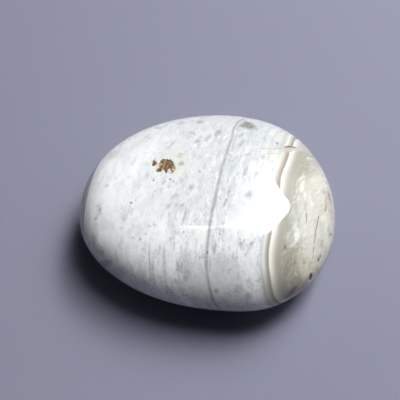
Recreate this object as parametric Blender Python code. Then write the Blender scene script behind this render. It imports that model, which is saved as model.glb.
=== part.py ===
"""Ocean jasper pebble: one hand-polished stone, resting on a small flat worn on its underside.

Run with: blender --background --python part.py
Metres, +Z up. The long axis lies along X with the broad end at +X. The origin is on the table,
under the middle of the stone's box.
"""

import math
import random

import bmesh
import bpy
import numpy as np
from mathutils import Matrix, Vector
from mathutils.bvhtree import BVHTree

# The polished body. Its plan is an egg that leans a little, its side a flattened round.
HALF_LENGTH = 0.0297
HALF_WIDTH = 0.0249
HALF_THICKNESS = 0.0129
BROAD_END_SHIFT = 0.157  # how far the thickest part moves towards the broad end
PLAN_TAPER = -0.025  # width gained from the middle to the broad end
PLAN_BARREL = 0.06  # width gained at both ends alike
PLAN_BOW = 0.094  # how far the middle bows towards +Y
PLAN_POWER = 2.1  # 2 is an ellipse, higher is squarer
SIDE_POWER = 2.2
FOOT_DEPTH = 0.0005  # thickness worn off the underside, which leaves the flat foot

# Low swells and hollows round the rim, left by grinding by hand: azimuth in degrees, height.
RIM_SWELLS = ((-72, 0.0008), (-48, -0.0008), (7, 0.0006), (139, 0.00075), (-137, -0.0008))
SWELL_SPREAD = 0.3  # radians

BODY_CUTS = 19  # cuts along each edge of the cube that the body is rounded from

# The open pocket of crystals on the crown, and the small pits that run into it:
# place, then half length, half width and depth.
POCKET_AT = Vector((-0.00972, 0.00382, 0.02413))
POCKET_SIZE = Vector((0.0019, 0.0016, 0.0007))
PITS = (
    ((-0.01250, 0.00450, 0.02353), (0.00050, 0.00075, 0.00035)),
    ((-0.01124, 0.00255, 0.02394), (0.00060, 0.00055, 0.00040)),
    ((-0.00817, 0.00250, 0.02443), (0.00060, 0.00075, 0.00035)),
)
CRYSTAL_RINGS = ((1, 0.0), (6, 0.42), (12, 0.80))  # crystals in a ring, ring radius as a share
CRYSTAL_RADIUS = 0.00085  # at the root, which is buried in the stone
CRYSTAL_HEIGHT = 0.00105
CRYSTAL_TIP = 0.12  # width of the blunt tip as a share of the root
CRYSTAL_CLEARANCE = 0.00008  # the polished skin passes at least this far above the tips
CRYSTAL_SEED = 5

# Healed cracks that stand open as fine grooves: groove radius, then points along the skin.
CRACKS = {
    "end_crack": (0.00026, ((0.02519, -0.00459, 0.02065), (0.02464, -0.00763, 0.02061),
                            (0.02437, -0.00901, 0.02049), (0.02406, -0.01122, 0.02004),
                            (0.02389, -0.01319, 0.01933), (0.02396, -0.01412, 0.01875))),
    "rim_crack": (0.00020, ((0.02698, 0.00010, 0.01923), (0.02690, -0.00170, 0.01935),
                            (0.02664, -0.00349, 0.01952))),
    "short_crack": (0.00016, ((0.02215, -0.00522, 0.02233), (0.02218, -0.00660, 0.02218),
                              (0.02211, -0.00803, 0.02196))),
    "shoulder_groove": (0.00028, ((0.02030, 0.01700, 0.01870), (0.01960, 0.01490, 0.02030),
                                  (0.01890, 0.01320, 0.02150))),
    "vein_cap": (0.00024, ((0.01690, 0.01130, 0.02283), (0.01790, 0.01215, 0.02235),
                           (0.01860, 0.01240, 0.02195), (0.01990, 0.01235, 0.02141))),
}

# Shallow chips on the broad end: place, then half sizes along X, along Y and into the stone.
CHIPS = {
    "low_chip": ((0.02380, -0.01760, 0.01420), (0.0006, 0.0017, 0.00045)),
    "rim_chip": ((0.02831, -0.00754, 0.01657), (0.0008, 0.0006, 0.00022)),
    "crack_chip": ((0.02430, -0.01450, 0.01820), (0.0008, 0.0007, 0.00030)),
}

JASPER_COLOUR = (0.76, 0.76, 0.72, 1.0)
DRUZY_COLOUR = (0.36, 0.22, 0.10, 1.0)
JASPER_SLOT, DRUZY_SLOT = 0, 1


def clear_scene():
    """Remove whatever the scene holds."""
    for obj in list(bpy.data.objects):
        bpy.data.objects.remove(obj, do_unlink=True)


def make_collection(name, is_helper=False):
    """A collection linked to the scene; a helper one stays out of renders."""
    collection = bpy.data.collections.new(name)
    bpy.context.scene.collection.children.link(collection)
    collection.hide_render = is_helper
    return collection


def make_material(name, colour, roughness):
    """A plain Principled material for a stone surface."""
    material = bpy.data.materials.new(name)
    material.use_nodes = True
    shader = material.node_tree.nodes["Principled BSDF"]
    shader.inputs["Base Color"].default_value = colour
    shader.inputs["Roughness"].default_value = roughness
    shader.inputs["Metallic"].default_value = 0.0
    material.diffuse_color = colour
    return material


def add_object(name, mesh, collection, materials):
    """An object for the mesh, with every material in a slot of its own."""
    for material in materials:
        mesh.materials.append(material)
    obj = bpy.data.objects.new(name, mesh)
    collection.objects.link(obj)
    return obj


def add_cutter(name, mesh, collection, materials):
    """A helper object for a Boolean, drawn as wire and left out of renders."""
    cutter = add_object(name, mesh, collection, materials)
    cutter.hide_render = True
    cutter.display_type = "WIRE"
    return cutter


def skin_point(direction):
    """The point of the polished skin that lies in a unit direction from the stone's heart."""
    x, y, z = direction
    plan = abs(x) ** PLAN_POWER + abs(y) ** PLAN_POWER
    reach = (plan ** (SIDE_POWER / PLAN_POWER) + abs(z) ** SIDE_POWER) ** (1 / SIDE_POWER)
    x, y, z = x / reach, y / reach, z / reach
    point = Vector((
        HALF_LENGTH * (x + BROAD_END_SHIFT * (1 - x * x)),
        HALF_WIDTH * (y * (1 + PLAN_TAPER * x + PLAN_BARREL * x * x) + PLAN_BOW * (1 - x * x)),
        HALF_THICKNESS * z,
    ))
    for azimuth, height in RIM_SWELLS:
        outward = Vector((math.cos(math.radians(azimuth)), math.sin(math.radians(azimuth)), 0))
        nearness = math.exp((direction.dot(outward) - 1) / SWELL_SPREAD**2)
        point += height * nearness * outward
    return point


def rounded_body():
    """The whole pebble: a gridded cube drawn onto a ball, then onto the skin."""
    body = bmesh.new()
    bmesh.ops.create_cube(body, size=2.0)
    bmesh.ops.subdivide_edges(body, edges=body.edges[:], cuts=BODY_CUTS, use_grid_fill=True)
    for vert in body.verts:
        even = Vector(math.tan(side * math.pi / 4) for side in vert.co)
        vert.co = skin_point(even.normalized())
    return body


def stand_on_foot(body):
    """Wear the flat foot and set the stone on the table, its box centred on the origin."""
    corners = np.array([vert.co for vert in body.verts])
    low, high = corners.min(axis=0), corners.max(axis=0)
    middle = (low + high) / 2
    shift = Vector((-middle[0], -middle[1], -(low[2] + FOOT_DEPTH)))
    bmesh.ops.translate(body, verts=body.verts[:], vec=shift)
    everything = body.verts[:] + body.edges[:] + body.faces[:]
    cut = bmesh.ops.bisect_plane(
        body, geom=everything, plane_co=(0, 0, 0), plane_no=(0, 0, -1), clear_outer=True
    )
    rim = [item for item in cut["geom_cut"] if isinstance(item, bmesh.types.BMEdge)]
    bmesh.ops.edgeloop_fill(body, edges=rim)
    bmesh.ops.recalc_face_normals(body, faces=body.faces[:])


def mesh_from(body, name, slot=JASPER_SLOT):
    """A mesh holding the bmesh, all its faces flat shaded and in one material slot."""
    for face in body.faces:
        face.material_index = slot
        face.smooth = False
    mesh = bpy.data.meshes.new(name)
    body.to_mesh(mesh)
    body.free()
    return mesh


def frame_on_skin(skin, place):
    """A matrix at the nearest point of the skin: its Z outward, its X towards the broad end."""
    point, normal, _face, _distance = skin.find_nearest(Vector(place))
    along = (Vector((1, 0, 0)) - normal.x * normal).normalized()
    across = normal.cross(along)
    axes = Matrix((along, across, normal)).transposed().to_4x4()
    return Matrix.Translation(point) @ axes


def scoop(name, skin, place, half_sizes, slot):
    """A cutter for a shallow hollow: a ball flattened onto the skin, its rim a little uneven."""
    ball = bmesh.new()
    bmesh.ops.create_icosphere(ball, subdivisions=2, radius=1.0)
    for vert in ball.verts:
        turn = math.atan2(vert.co.y, vert.co.x)
        uneven = 1 + 0.10 * math.sin(3 * turn + 0.6) + 0.07 * math.sin(7 * turn)
        vert.co = Vector(half_sizes) * uneven * vert.co
    ball.transform(frame_on_skin(skin, place))
    return mesh_from(ball, name, slot)


def crystal(name, spot, draw, collection, materials):
    """One six-sided point, rooted under a spot on the skin and leaning a little at random."""
    shape = bmesh.new()
    radius = CRYSTAL_RADIUS * draw.uniform(0.8, 1.25)
    bmesh.ops.create_cone(
        shape,
        cap_ends=True,
        segments=6,
        radius1=radius,
        radius2=CRYSTAL_TIP * radius,
        depth=CRYSTAL_HEIGHT,
    )
    tip_depth = CRYSTAL_CLEARANCE * draw.uniform(1, 4)
    sunk = Matrix.Translation((0, 0, -tip_depth - CRYSTAL_HEIGHT / 2))
    lean = Matrix.Rotation(math.radians(draw.uniform(4, 22)), 4, "X")
    turn = Matrix.Rotation(draw.uniform(0, math.tau), 4, "Z")
    spin = Matrix.Rotation(draw.uniform(0, math.tau), 4, "Z")
    shape.transform(spot @ sunk @ turn @ lean @ spin)
    add_cutter(name, mesh_from(shape, name, DRUZY_SLOT), collection, materials)


def grow_crystals(skin, collection, materials):
    """Crystals in rings over the pocket's floor, and one in each pit."""
    draw = random.Random(CRYSTAL_SEED)
    pocket = frame_on_skin(skin, POCKET_AT)
    for ring, (count, share) in enumerate(CRYSTAL_RINGS):
        for step in range(count):
            turn = math.tau * (step + draw.uniform(-0.15, 0.15)) / count + ring
            reach = Vector((POCKET_SIZE.x * math.cos(turn), POCKET_SIZE.y * math.sin(turn), 0))
            spot = pocket @ Matrix.Translation(share * reach)
            crystal(f"crystal_{ring}_{step}", spot, draw, collection, materials)
    for number, (place, _half_sizes) in enumerate(PITS):
        crystal(f"pit_crystal_{number}", frame_on_skin(skin, place), draw, collection, materials)


def groove(name, skin, radius, places, collection, materials):
    """A cutter for an open crack: a thin tube along the skin that thins out at its ends."""
    curve = bpy.data.curves.new(name, "CURVE")
    curve.dimensions = "3D"
    curve.bevel_depth = radius
    curve.bevel_resolution = 1
    curve.use_fill_caps = True
    spline = curve.splines.new("POLY")
    spline.points.add(len(places) - 1)
    for index, (point, place) in enumerate(zip(spline.points, places)):
        on_skin = frame_on_skin(skin, place).translation
        point.co = (*on_skin, 1.0)
        point.radius = 0.45 if index in (0, len(places) - 1) else 1.0
    guide = bpy.data.objects.new(name + "_guide", curve)
    collection.objects.link(guide)
    bpy.context.view_layer.update()
    drawn = guide.evaluated_get(bpy.context.evaluated_depsgraph_get())
    mesh = bpy.data.meshes.new_from_object(drawn)
    bpy.data.objects.remove(guide, do_unlink=True)
    tube = bmesh.new()
    tube.from_mesh(mesh)
    bpy.data.meshes.remove(mesh)
    bmesh.ops.remove_doubles(tube, verts=tube.verts[:], dist=1e-6)
    bmesh.ops.recalc_face_normals(tube, faces=tube.faces[:])
    add_cutter(name, mesh_from(tube, name), collection, materials)


def add_boolean(obj, name, operation, collection):
    """An exact Boolean with every helper in the collection."""
    modifier = obj.modifiers.new(name, "BOOLEAN")
    modifier.operand_type = "COLLECTION"
    modifier.collection = collection
    modifier.operation = operation
    modifier.solver = "EXACT"


def main():
    """Build the stone."""
    clear_scene()
    materials = (
        make_material("polished_jasper", JASPER_COLOUR, 0.12),
        make_material("druzy_crystal", DRUZY_COLOUR, 0.45),
    )
    body = rounded_body()
    stand_on_foot(body)
    skin = BVHTree.FromBMesh(body)
    stone = add_object("stone", mesh_from(body, "stone"), make_collection("ocean_jasper"), materials)

    hollows = make_collection("hollow_cutters", is_helper=True)
    add_cutter("pocket", scoop("pocket", skin, POCKET_AT, POCKET_SIZE, DRUZY_SLOT), hollows, materials)
    for number, (place, half_sizes) in enumerate(PITS):
        name = f"pit_{number}"
        add_cutter(name, scoop(name, skin, place, half_sizes, DRUZY_SLOT), hollows, materials)

    crystals = make_collection("crystal_shapes", is_helper=True)
    grow_crystals(skin, crystals, materials)

    flaws = make_collection("flaw_cutters", is_helper=True)
    for name, (radius, places) in CRACKS.items():
        groove(name, skin, radius, places, flaws, materials)
    for name, (place, half_sizes) in CHIPS.items():
        add_cutter(name, scoop(name, skin, place, half_sizes, JASPER_SLOT), flaws, materials)

    add_boolean(stone, "open_pocket", "DIFFERENCE", hollows)
    add_boolean(stone, "fuse_crystals", "UNION", crystals)
    add_boolean(stone, "open_flaws", "DIFFERENCE", flaws)
    # The cutters stay flat shaded, so every hollow keeps a crisp rim in the smooth skin.
    stone.data.shade_smooth()


main()
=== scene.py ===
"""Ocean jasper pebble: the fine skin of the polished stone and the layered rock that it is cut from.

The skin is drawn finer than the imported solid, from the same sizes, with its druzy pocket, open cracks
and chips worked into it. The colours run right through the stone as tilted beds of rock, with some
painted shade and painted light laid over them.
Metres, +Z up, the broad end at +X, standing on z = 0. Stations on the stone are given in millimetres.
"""

import logging
import math
import random
from dataclasses import dataclass
from enum import Enum

import bmesh
import bpy
import numpy as np
from mathutils import Matrix, Vector


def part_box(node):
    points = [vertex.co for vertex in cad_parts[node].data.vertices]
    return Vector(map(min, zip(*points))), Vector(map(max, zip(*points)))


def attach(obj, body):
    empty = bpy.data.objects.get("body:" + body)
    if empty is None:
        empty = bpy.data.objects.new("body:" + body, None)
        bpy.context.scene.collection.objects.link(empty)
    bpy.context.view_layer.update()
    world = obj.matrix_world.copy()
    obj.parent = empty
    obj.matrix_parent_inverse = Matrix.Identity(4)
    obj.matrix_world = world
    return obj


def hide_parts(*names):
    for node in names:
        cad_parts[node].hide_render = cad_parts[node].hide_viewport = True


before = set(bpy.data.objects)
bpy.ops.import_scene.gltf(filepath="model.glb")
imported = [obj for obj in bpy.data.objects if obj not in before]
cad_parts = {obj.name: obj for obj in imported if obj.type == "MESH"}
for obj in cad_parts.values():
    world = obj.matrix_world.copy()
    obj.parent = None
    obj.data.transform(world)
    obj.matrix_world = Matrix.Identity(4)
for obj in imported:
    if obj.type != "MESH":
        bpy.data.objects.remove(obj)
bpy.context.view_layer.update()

LOG = logging.getLogger("ocean_jasper")
STONE_NODE = "stone"
STONE_SLOT = "polished_jasper"
MM = 0.001

Point = tuple[float, float, float]
Sizes = tuple[float, float, float]
Span = tuple[float, float]
Colour = tuple[float, float, float, float]
Values = dict[str | int, object]

BLACK: Colour = (0.0, 0.0, 0.0, 1.0)
CHART_TOP = 255
CHART_TOE = 0.04045
CHART_SLOPE = 12.92
CHART_OFFSET = 0.055
CHART_POWER = 2.4


def shade(red: int, green: int, blue: int) -> Colour:
    """Turn a paint-chart colour into the linear colour that a shader takes.

    Args:
        red: Red, 0 to 255.
        green: Green, 0 to 255.
        blue: Blue, 0 to 255.

    Returns:
        The linear colour with full alpha.
    """
    linear = []
    for part in (red, green, blue):
        level = part / CHART_TOP
        if level <= CHART_TOE:
            linear.append(level / CHART_SLOPE)
        else:
            linear.append(((level + CHART_OFFSET) / (1 + CHART_OFFSET)) ** CHART_POWER)
    return (linear[0], linear[1], linear[2], 1.0)


def eased(value: np.ndarray) -> np.ndarray:
    """Clamp to 0..1 and ease both ends."""
    held = np.clip(value, 0.0, 1.0)
    return held * held * (3 - 2 * held)


# --- the body ------------------------------------------------------------------------------------


@dataclass(frozen=True)
class PebbleForm:
    """The polished body: a leaning egg in plan, and a flattened round from the side."""

    half_length: float = 29.7 * MM
    half_width: float = 24.9 * MM
    half_thickness: float = 12.9 * MM
    broad_end_shift: float = 0.157
    plan_taper: float = -0.025
    plan_barrel: float = 0.06
    plan_bow: float = 0.094
    plan_power: float = 2.1
    side_power: float = 2.2
    foot_depth: float = 0.5 * MM
    swell_spread: float = 0.3
    rim_swells: tuple[tuple[float, float], ...] = (
        (-72, 0.8 * MM),
        (-48, -0.8 * MM),
        (7, 0.6 * MM),
        (139, 0.75 * MM),
        (-137, -0.8 * MM),
    )

    def skin(self, directions: np.ndarray) -> np.ndarray:
        """Find the skin's points in unit directions from the stone's heart.

        Args:
            directions: Unit vectors, one a row.

        Returns:
            Points in metres, before the stone is set on the table.
        """
        across = np.abs(directions)
        plan = across[:, 0] ** self.plan_power + across[:, 1] ** self.plan_power
        reach = plan ** (self.side_power / self.plan_power) + across[:, 2] ** self.side_power
        x, y, z = (directions / (reach ** (1 / self.side_power))[:, None]).T
        rest = 1 - x * x
        width = y * (1 + self.plan_taper * x + self.plan_barrel * x * x) + self.plan_bow * rest
        points = np.column_stack((
            self.half_length * (x + self.broad_end_shift * rest),
            self.half_width * width,
            self.half_thickness * z,
        ))
        for azimuth, height in self.rim_swells:
            turn = math.radians(azimuth)
            outward = np.array((math.cos(turn), math.sin(turn), 0.0))
            nearness = np.exp((directions @ outward - 1) / self.swell_spread**2)
            points = points + (height * nearness)[:, None] * outward
        return points

    def stand(self, points: np.ndarray) -> np.ndarray:
        """Set the skin on the table and wear its foot flat.

        Args:
            points: The skin's points round the stone's heart, in metres.

        Returns:
            The points over the frame's origin, none under z = 0.
        """
        low, high = points.min(axis=0), points.max(axis=0)
        middle = (low + high) / 2
        stood = points - (middle[0], middle[1], low[2] + self.foot_depth)
        stood[:, 2] = np.maximum(stood[:, 2], 0.0)
        return stood


@dataclass(frozen=True)
class Sway:
    """How far two of the beds sway at one station across the stone, in millimetres."""

    along: float
    green: float
    pink: float


@dataclass(frozen=True)
class Bedding:
    """How the beds of rock lie: nearly flat sheets that lean and dip, with a slow sway across the stone."""

    lean: float = 0.149
    dip: float = 0.47
    level: float = 18.0
    sway_reach: float = 1.6
    least_nearness: float = 1e-9
    green_bed: float = 5.42
    pink_bed: float = 18.16
    stations: tuple[Sway, ...] = (
        Sway(21.0, -0.16, 0.10),
        Sway(17.7, -0.58, -0.10),
        Sway(16.0, -0.21, 0.20),
        Sway(12.0, 0.38, 0.40),
        Sway(7.0, 0.49, 0.58),
        Sway(2.5, 0.44, 0.30),
        Sway(-1.5, 0.45, 0.55),
        Sway(-5.6, 0.46, 0.42),
        Sway(-10.0, 0.16, 0.22),
        Sway(-13.6, 0.12, -0.16),
        Sway(-16.3, -0.11, -0.46),
        Sway(-19.2, -0.38, -0.40),
        Sway(-21.4, -0.15, -0.24),
        Sway(-23.4, -0.10, -0.50),
        Sway(-25.0, -0.46, -0.80),
    )

    def depth(self, points: np.ndarray) -> np.ndarray:
        """Find how far each point lies through the beds, towards the broad end.

        Args:
            points: Points on the standing stone, in millimetres.

        Returns:
            Millimetres through the beds, 0 near the stone's middle.
        """
        plain = points[:, 0] - self.lean * points[:, 1] + self.dip * (points[:, 2] - self.level)
        places, green, pink = np.array([(sway.along, sway.green, sway.pink) for sway in self.stations]).T
        nearness = np.exp(-(((points[:, 1:2] - places) / self.sway_reach) ** 2) / 2) + self.least_nearness
        nearness /= nearness.sum(axis=1, keepdims=True)
        share = np.clip((plain - self.green_bed) / (self.pink_bed - self.green_bed), 0.0, 1.0)
        return plain - (1 - share) * (nearness @ green) - share * (nearness @ pink)


# --- what is worked into the skin ------------------------------------------------------------------


@dataclass(frozen=True)
class Crack:
    """An open crack or a worn seam: a groove that follows stations on the skin."""

    name: str
    stations: tuple[Point, ...]
    half_width: float
    depth: float
    stain: float = 1.0
    jitter: float = 0.06
    spacing: float = 0.35
    taper: float = 0.12
    blunt_end: float = 0.25

    def path(self) -> np.ndarray:
        """Draw the crack's ragged course through its stations.

        Returns:
            Points in millimetres, close together.
        """
        roll = random.Random(self.name)
        course = [np.array(self.stations[0])]
        for start, end in zip(self.stations, self.stations[1:]):
            leg = np.array(end) - np.array(start)
            steps = max(2, round(float(np.linalg.norm(leg)) / self.spacing))
            for step in range(1, steps + 1):
                wander = np.array([roll.uniform(-1, 1) for _ in range(3)]) * self.jitter
                course.append(np.array(start) + leg * step / steps + wander)
        return np.array(course)

    def closeness(self, points: np.ndarray) -> np.ndarray:
        """Find how near points are to the crack, 1 in it and 0 beside it.

        Args:
            points: Points near the skin, in millimetres.

        Returns:
            One value a point, thinning out towards the crack's ends.
        """
        course = self.path()
        best = np.full(len(points), np.inf)
        along = np.zeros(len(points))
        for index, (start, end) in enumerate(zip(course, course[1:])):
            leg = end - start
            share = np.clip(((points - start) @ leg) / (leg @ leg), 0.0, 1.0)
            gap = np.linalg.norm(points - start - share[:, None] * leg, axis=1)
            nearer = gap < best
            best = np.where(nearer, gap, best)
            along = np.where(nearer, (index + share) / (len(course) - 1), along)
        ends = eased(np.minimum(along, 1 - along) / self.taper + self.blunt_end)
        return np.exp(-((best / self.half_width) ** 2)) * ends


@dataclass(frozen=True)
class Chip:
    """A shallow chip knocked out of the skin."""

    name: str
    centre: Point
    half_sizes: Sizes
    depth: float
    stain: float = 0.6
    fullness: float = 1.15

    def closeness(self, points: np.ndarray) -> np.ndarray:
        """Find how deep in the chip points are, 1 at its middle and 0 outside."""
        gap = (points - np.array(self.centre)) / np.array(self.half_sizes)
        return eased(self.fullness - (gap**2).sum(axis=1))


@dataclass(frozen=True)
class Ripple:
    """One even ripple of a ragged rim: its height, how many times it comes round, and where it starts."""

    height: float
    times: int
    start: float = 0.0

    def at(self, angle: np.ndarray) -> np.ndarray:
        """Give the ripple at angles round the rim."""
        return self.height * np.cos(self.times * angle + self.start)


@dataclass(frozen=True)
class Pit:
    """A small ragged pit beside the pocket."""

    centre: Point
    half_wide: float
    half_long: float

    def outline(self, angle: np.ndarray) -> np.ndarray:
        """Give the pit's rim as a share of its half sizes, at angles round it, no two pits alike."""
        return 1 + Ripple(0.12, 3, self.centre[0]).at(angle) + Ripple(0.08, 7).at(angle)


@dataclass(frozen=True)
class DruzyPocket:
    """The open pocket lined with small pointed crystals, and the pits beside it."""

    centre: Point = (-9.80, 3.98, 24.13)
    half_sizes: Span = (1.80, 1.62)
    depth: float = 0.5
    wall: float = 0.32
    level_reach: float = 2.5
    rim: float = 0.89
    ripples: tuple[Ripple, ...] = (Ripple(0.06, 2, 0.6), Ripple(0.05, 5, 2.1), Ripple(0.03, 11, 1.2))
    spikes: Ripple = Ripple(0.14, 7, 0.4 - math.pi / 2)
    spike_swell: Ripple = Ripple(0.5, 3, 1.0)
    pits: tuple[Pit, ...] = (
        Pit((-12.50, 4.50, 23.53), 0.52, 0.70),
        Pit((-11.24, 2.52, 23.94), 0.60, 0.50),
        Pit((-8.15, 2.60, 24.43), 0.58, 0.66),
        Pit((-9.60, 2.35, 24.25), 0.34, 0.62),
    )
    crystals: int = 80
    crystal_sides: int = 6
    crystal_radius: float = 0.40
    crystal_field_x: Span = (-3.3, 2.2)
    crystal_field_y: Span = (-1.9, 1.7)
    crystal_heights: Span = (0.55, 1.0)
    crystal_widths: Span = (0.6, 1.1)
    crystal_lengths: Span = (1.0, 1.7)
    tip_power: float = 0.8
    least_rise: float = 0.5
    seed: int = 11

    def outline(self, angle: np.ndarray) -> np.ndarray:
        """Give the pocket's ragged rim as a share of its half sizes, at angles round it."""
        spikes = np.abs(self.spikes.at(angle)) * (1 + self.spike_swell.at(angle))
        return self.rim + sum(ripple.at(angle) for ripple in self.ripples) + spikes

    def opened(self, inside: np.ndarray) -> np.ndarray:
        """Ease through the wall, from 0 on the polish to 1 inside, by how far inside points lie."""
        return eased(inside / self.wall + 0.5)

    def openness(self, points: np.ndarray) -> np.ndarray:
        """Find how open the pocket and its pits are at each point, 1 inside and 0 on the polish.

        Args:
            points: Points near the skin, in millimetres.

        Returns:
            One value a point.
        """
        gap = points - np.array(self.centre)
        across, along = gap[:, 0] / self.half_sizes[0], gap[:, 1] / self.half_sizes[1]
        rim = self.outline(np.arctan2(along, across))
        found = self.opened((rim - np.hypot(across, along)) * min(self.half_sizes))
        for pit in self.pits:
            gap = points - np.array(pit.centre)
            rim = pit.outline(np.arctan2(gap[:, 1], gap[:, 0]))
            reach = np.hypot(gap[:, 0] / pit.half_wide, gap[:, 1] / pit.half_long)
            found = np.maximum(found, self.opened((rim - reach) * pit.half_wide))
        return np.where(np.abs(points[:, 2] - self.centre[2]) < self.level_reach, found, 0.0)

    def points_up(self, points: np.ndarray) -> np.ndarray:
        """Find how high the crystals stand at each point, from 0 between them to 1 at the tallest tip.

        Args:
            points: Points near the skin, in millimetres.

        Returns:
            One value a point.
        """
        roll = random.Random(self.seed)
        found = np.zeros(len(points))
        side_turn = math.tau / self.crystal_sides
        for _ in range(self.crystals):
            x = self.centre[0] + roll.uniform(*self.crystal_field_x)
            y = self.centre[1] + roll.uniform(*self.crystal_field_y)
            turn, tall = roll.uniform(0, side_turn), roll.uniform(*self.crystal_heights)
            wide = self.crystal_radius * roll.uniform(*self.crystal_widths)
            long = wide * roll.uniform(*self.crystal_lengths)
            across, along = (points[:, 0] - x) / wide, (points[:, 1] - y) / long
            reach = np.zeros(len(points))
            for side in range(self.crystal_sides):
                facing = turn + side * side_turn
                reach = np.maximum(reach, across * math.cos(facing) + along * math.sin(facing))
            found = np.maximum(found, tall * np.clip(1 - reach, 0.0, 1.0) ** self.tip_power)
        return self.least_rise + (1 - self.least_rise) * found


class Tint(Enum):
    """The kinds of small mark in the rock, each named for the reading that carries it; most are natural, and
    a few of the grey ones are painted shade.
    """

    GREY_AND_SHADE = "grey_and_shade_marks"
    ROSE = "rose_marks"
    DARK = "dark_marks"
    LENS = "lens_marks"
    BROWN = "brown_marks"
    OLIVE = "olive_marks"
    HALO = "halo_marks"
    WHITE = "white_marks"
    PLUM = "plum_marks"
    PEACH = "peach_marks"


# Marks lie above this height, and reach this deep under the skin, in millimetres.
UPPER_SIDE = 11.0
MARK_DEPTH = 1.5
# How far a mark and its finer skin reach, and how softly it fades, in half sizes.
MARK_EDGE = 1.45
MARK_FADE = 0.9
SPINE_REACH = 1.3
OUT_OF_REACH = 1e4


@dataclass(frozen=True)
class Mark:
    """One small mark in the rock's colour, natural in most cases and painted shade in a few: its place in
    plan, its half sizes along the skin, its turn and its strength.
    """

    x: float
    y: float
    across: float
    along: float
    turn: float
    strength: float

    def seat(self, points: np.ndarray, shift: Span = (0.0, 0.0)) -> int:
        """Find the point on the stone's upper side that lies nearest in plan to the mark, or to one side."""
        gap = (points[:, 0] - self.x - shift[0]) ** 2 + (points[:, 1] - self.y - shift[1]) ** 2
        return int(np.argmin(gap + np.where(points[:, 2] > UPPER_SIDE, 0.0, OUT_OF_REACH)))

    def spine(self, points: np.ndarray) -> list[np.ndarray]:
        """Step along the mark's longer axis.

        Args:
            points: Points on the skin, in millimetres.

        Returns:
            The skin's points at the steps, close enough together for the mark's width.
        """
        short, long = sorted((self.across, self.along))
        turn = math.radians(self.turn + (90 if self.along > self.across else 0))
        steps = round(SPINE_REACH * (long - short) / short)
        reaches = [SPINE_REACH * (long - short) * step / max(steps, 1) for step in range(-steps, steps + 1)]
        shifts = [(reach * math.cos(turn), reach * math.sin(turn)) for reach in reaches]
        return [points[self.seat(points, shift)] for shift in shifts]

    def closeness(self, points: np.ndarray, normals: np.ndarray) -> np.ndarray:
        """Find how strong the mark is at points on the skin.

        Args:
            points: Points on the skin, in millimetres.
            normals: The skin's outward normals at them.

        Returns:
            The mark's strength at its middle, easing to 0 round it.
        """
        seat = self.seat(points)
        normal = normals[seat]
        level = points[seat, 2] + (points[seat, :2] - (self.x, self.y)) @ normal[:2] / normal[2]
        gap = points - (self.x, self.y, level)
        east = np.array((1.0, 0.0, 0.0)) - normal * normal[0]
        east /= np.linalg.norm(east)
        north = np.cross(normal, east)
        turn = math.radians(self.turn)
        reach = np.hypot(
            gap @ (east * math.cos(turn) + north * math.sin(turn)) / self.across,
            gap @ (north * math.cos(turn) - east * math.sin(turn)) / self.along,
        )
        shallow = np.abs(gap @ normal) < MARK_DEPTH
        return self.strength * eased((MARK_EDGE - reach) / MARK_FADE) * shallow


@dataclass(frozen=True)
class FaintSmudges:
    """Faint smudges scattered over the milky rock, the same ones on every run."""

    count: int = 34
    seed: int = 12
    x: Span = (-22.0, 14.0)
    y: Span = (-21.0, 16.0)
    across: Span = (0.3, 0.5)
    along: Span = (0.3, 1.0)
    turn: Span = (-20.0, 5.0)
    strength: Span = (0.25, 0.4)

    def scatter(self) -> tuple[Mark, ...]:
        """Draw the smudges.

        Returns:
            One mark for each.
        """
        roll = np.random.default_rng(self.seed)
        places = zip(roll.uniform(*self.x, self.count), roll.uniform(*self.y, self.count))
        spans = (self.across, self.along, self.turn, self.strength)
        return tuple(Mark(x, y, *(roll.uniform(*span) for span in spans)) for x, y in places)


BACK_SMUDGES = (
    Mark(-13.0, 17.0, 1.2, 0.6, -45, 0.5),
    Mark(-7.6, 18.0, 1.0, 0.8, -15, 0.5),
    Mark(-3.0, 18.2, 0.8, 1.0, -5, 0.8),
    Mark(-4.6, 13.7, 1.0, 0.5, -20, 0.5),
    Mark(-3.0, 11.0, 0.6, 0.9, -20, 0.6),
    Mark(-9.0, 10.0, 0.3, 2.0, -35, 0.5),
    Mark(-0.7, 12.1, 0.6, 1.4, -25, 0.5),
    Mark(-2.7, 9.0, 0.5, 0.5, 0, 0.35),
    Mark(-3.6, 6.6, 0.5, 1.2, -15, 0.35),
)
MIDDLE_SMUDGES = (
    Mark(-23.1, -0.3, 0.4, 0.5, -10, 0.5),
    Mark(-17.4, 5.4, 0.5, 1.3, -10, 0.25),
    Mark(-3.6, -2.1, 0.6, 0.7, -10, 0.6),
    Mark(-6.8, -4.1, 0.7, 0.4, 0, 0.4),
    Mark(-1.0, 3.5, 0.3, 0.9, -15, 0.5),
    Mark(-4.4, -8.4, 0.3, 1.4, -5, 0.6),
    Mark(-4.8, -10.4, 0.3, 0.9, -15, 0.5),
    Mark(-8.3, -7.0, 0.4, 0.5, -10, 0.4),
    Mark(-11.0, -11.0, 0.4, 0.3, -20, 0.5),
    Mark(-12.1, -11.2, 0.4, 0.4, 0, 0.4),
    Mark(-18.5, -11.2, 0.5, 0.4, 0, 0.35),
    Mark(-13.8, -13.9, 0.3, 0.3, 0, 0.5),
    Mark(-15.6, -13.5, 0.4, 0.3, 0, 0.4),
)
NEAR_VEIN_SMUDGES = (
    Mark(6.9, 13.6, 0.4, 1.0, -35, 0.6),
    Mark(7.1, 10.8, 0.4, 1.5, -20, 0.65),
    Mark(8.2, 7.4, 0.5, 0.3, 5, 0.4),
    Mark(8.2, 2.5, 0.4, 1.2, -10, 0.4),
    Mark(6.3, 4.8, 0.3, 1.4, -20, 0.35),
    Mark(10.8, 2.3, 0.3, 0.6, -5, 0.4),
    Mark(9.1, -3.5, 0.7, 0.8, -30, 0.5),
    Mark(4.8, -3.2, 0.3, 1.2, -10, 0.6),
    Mark(4.1, -5.5, 0.3, 1.3, -20, 0.7),
)
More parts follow.
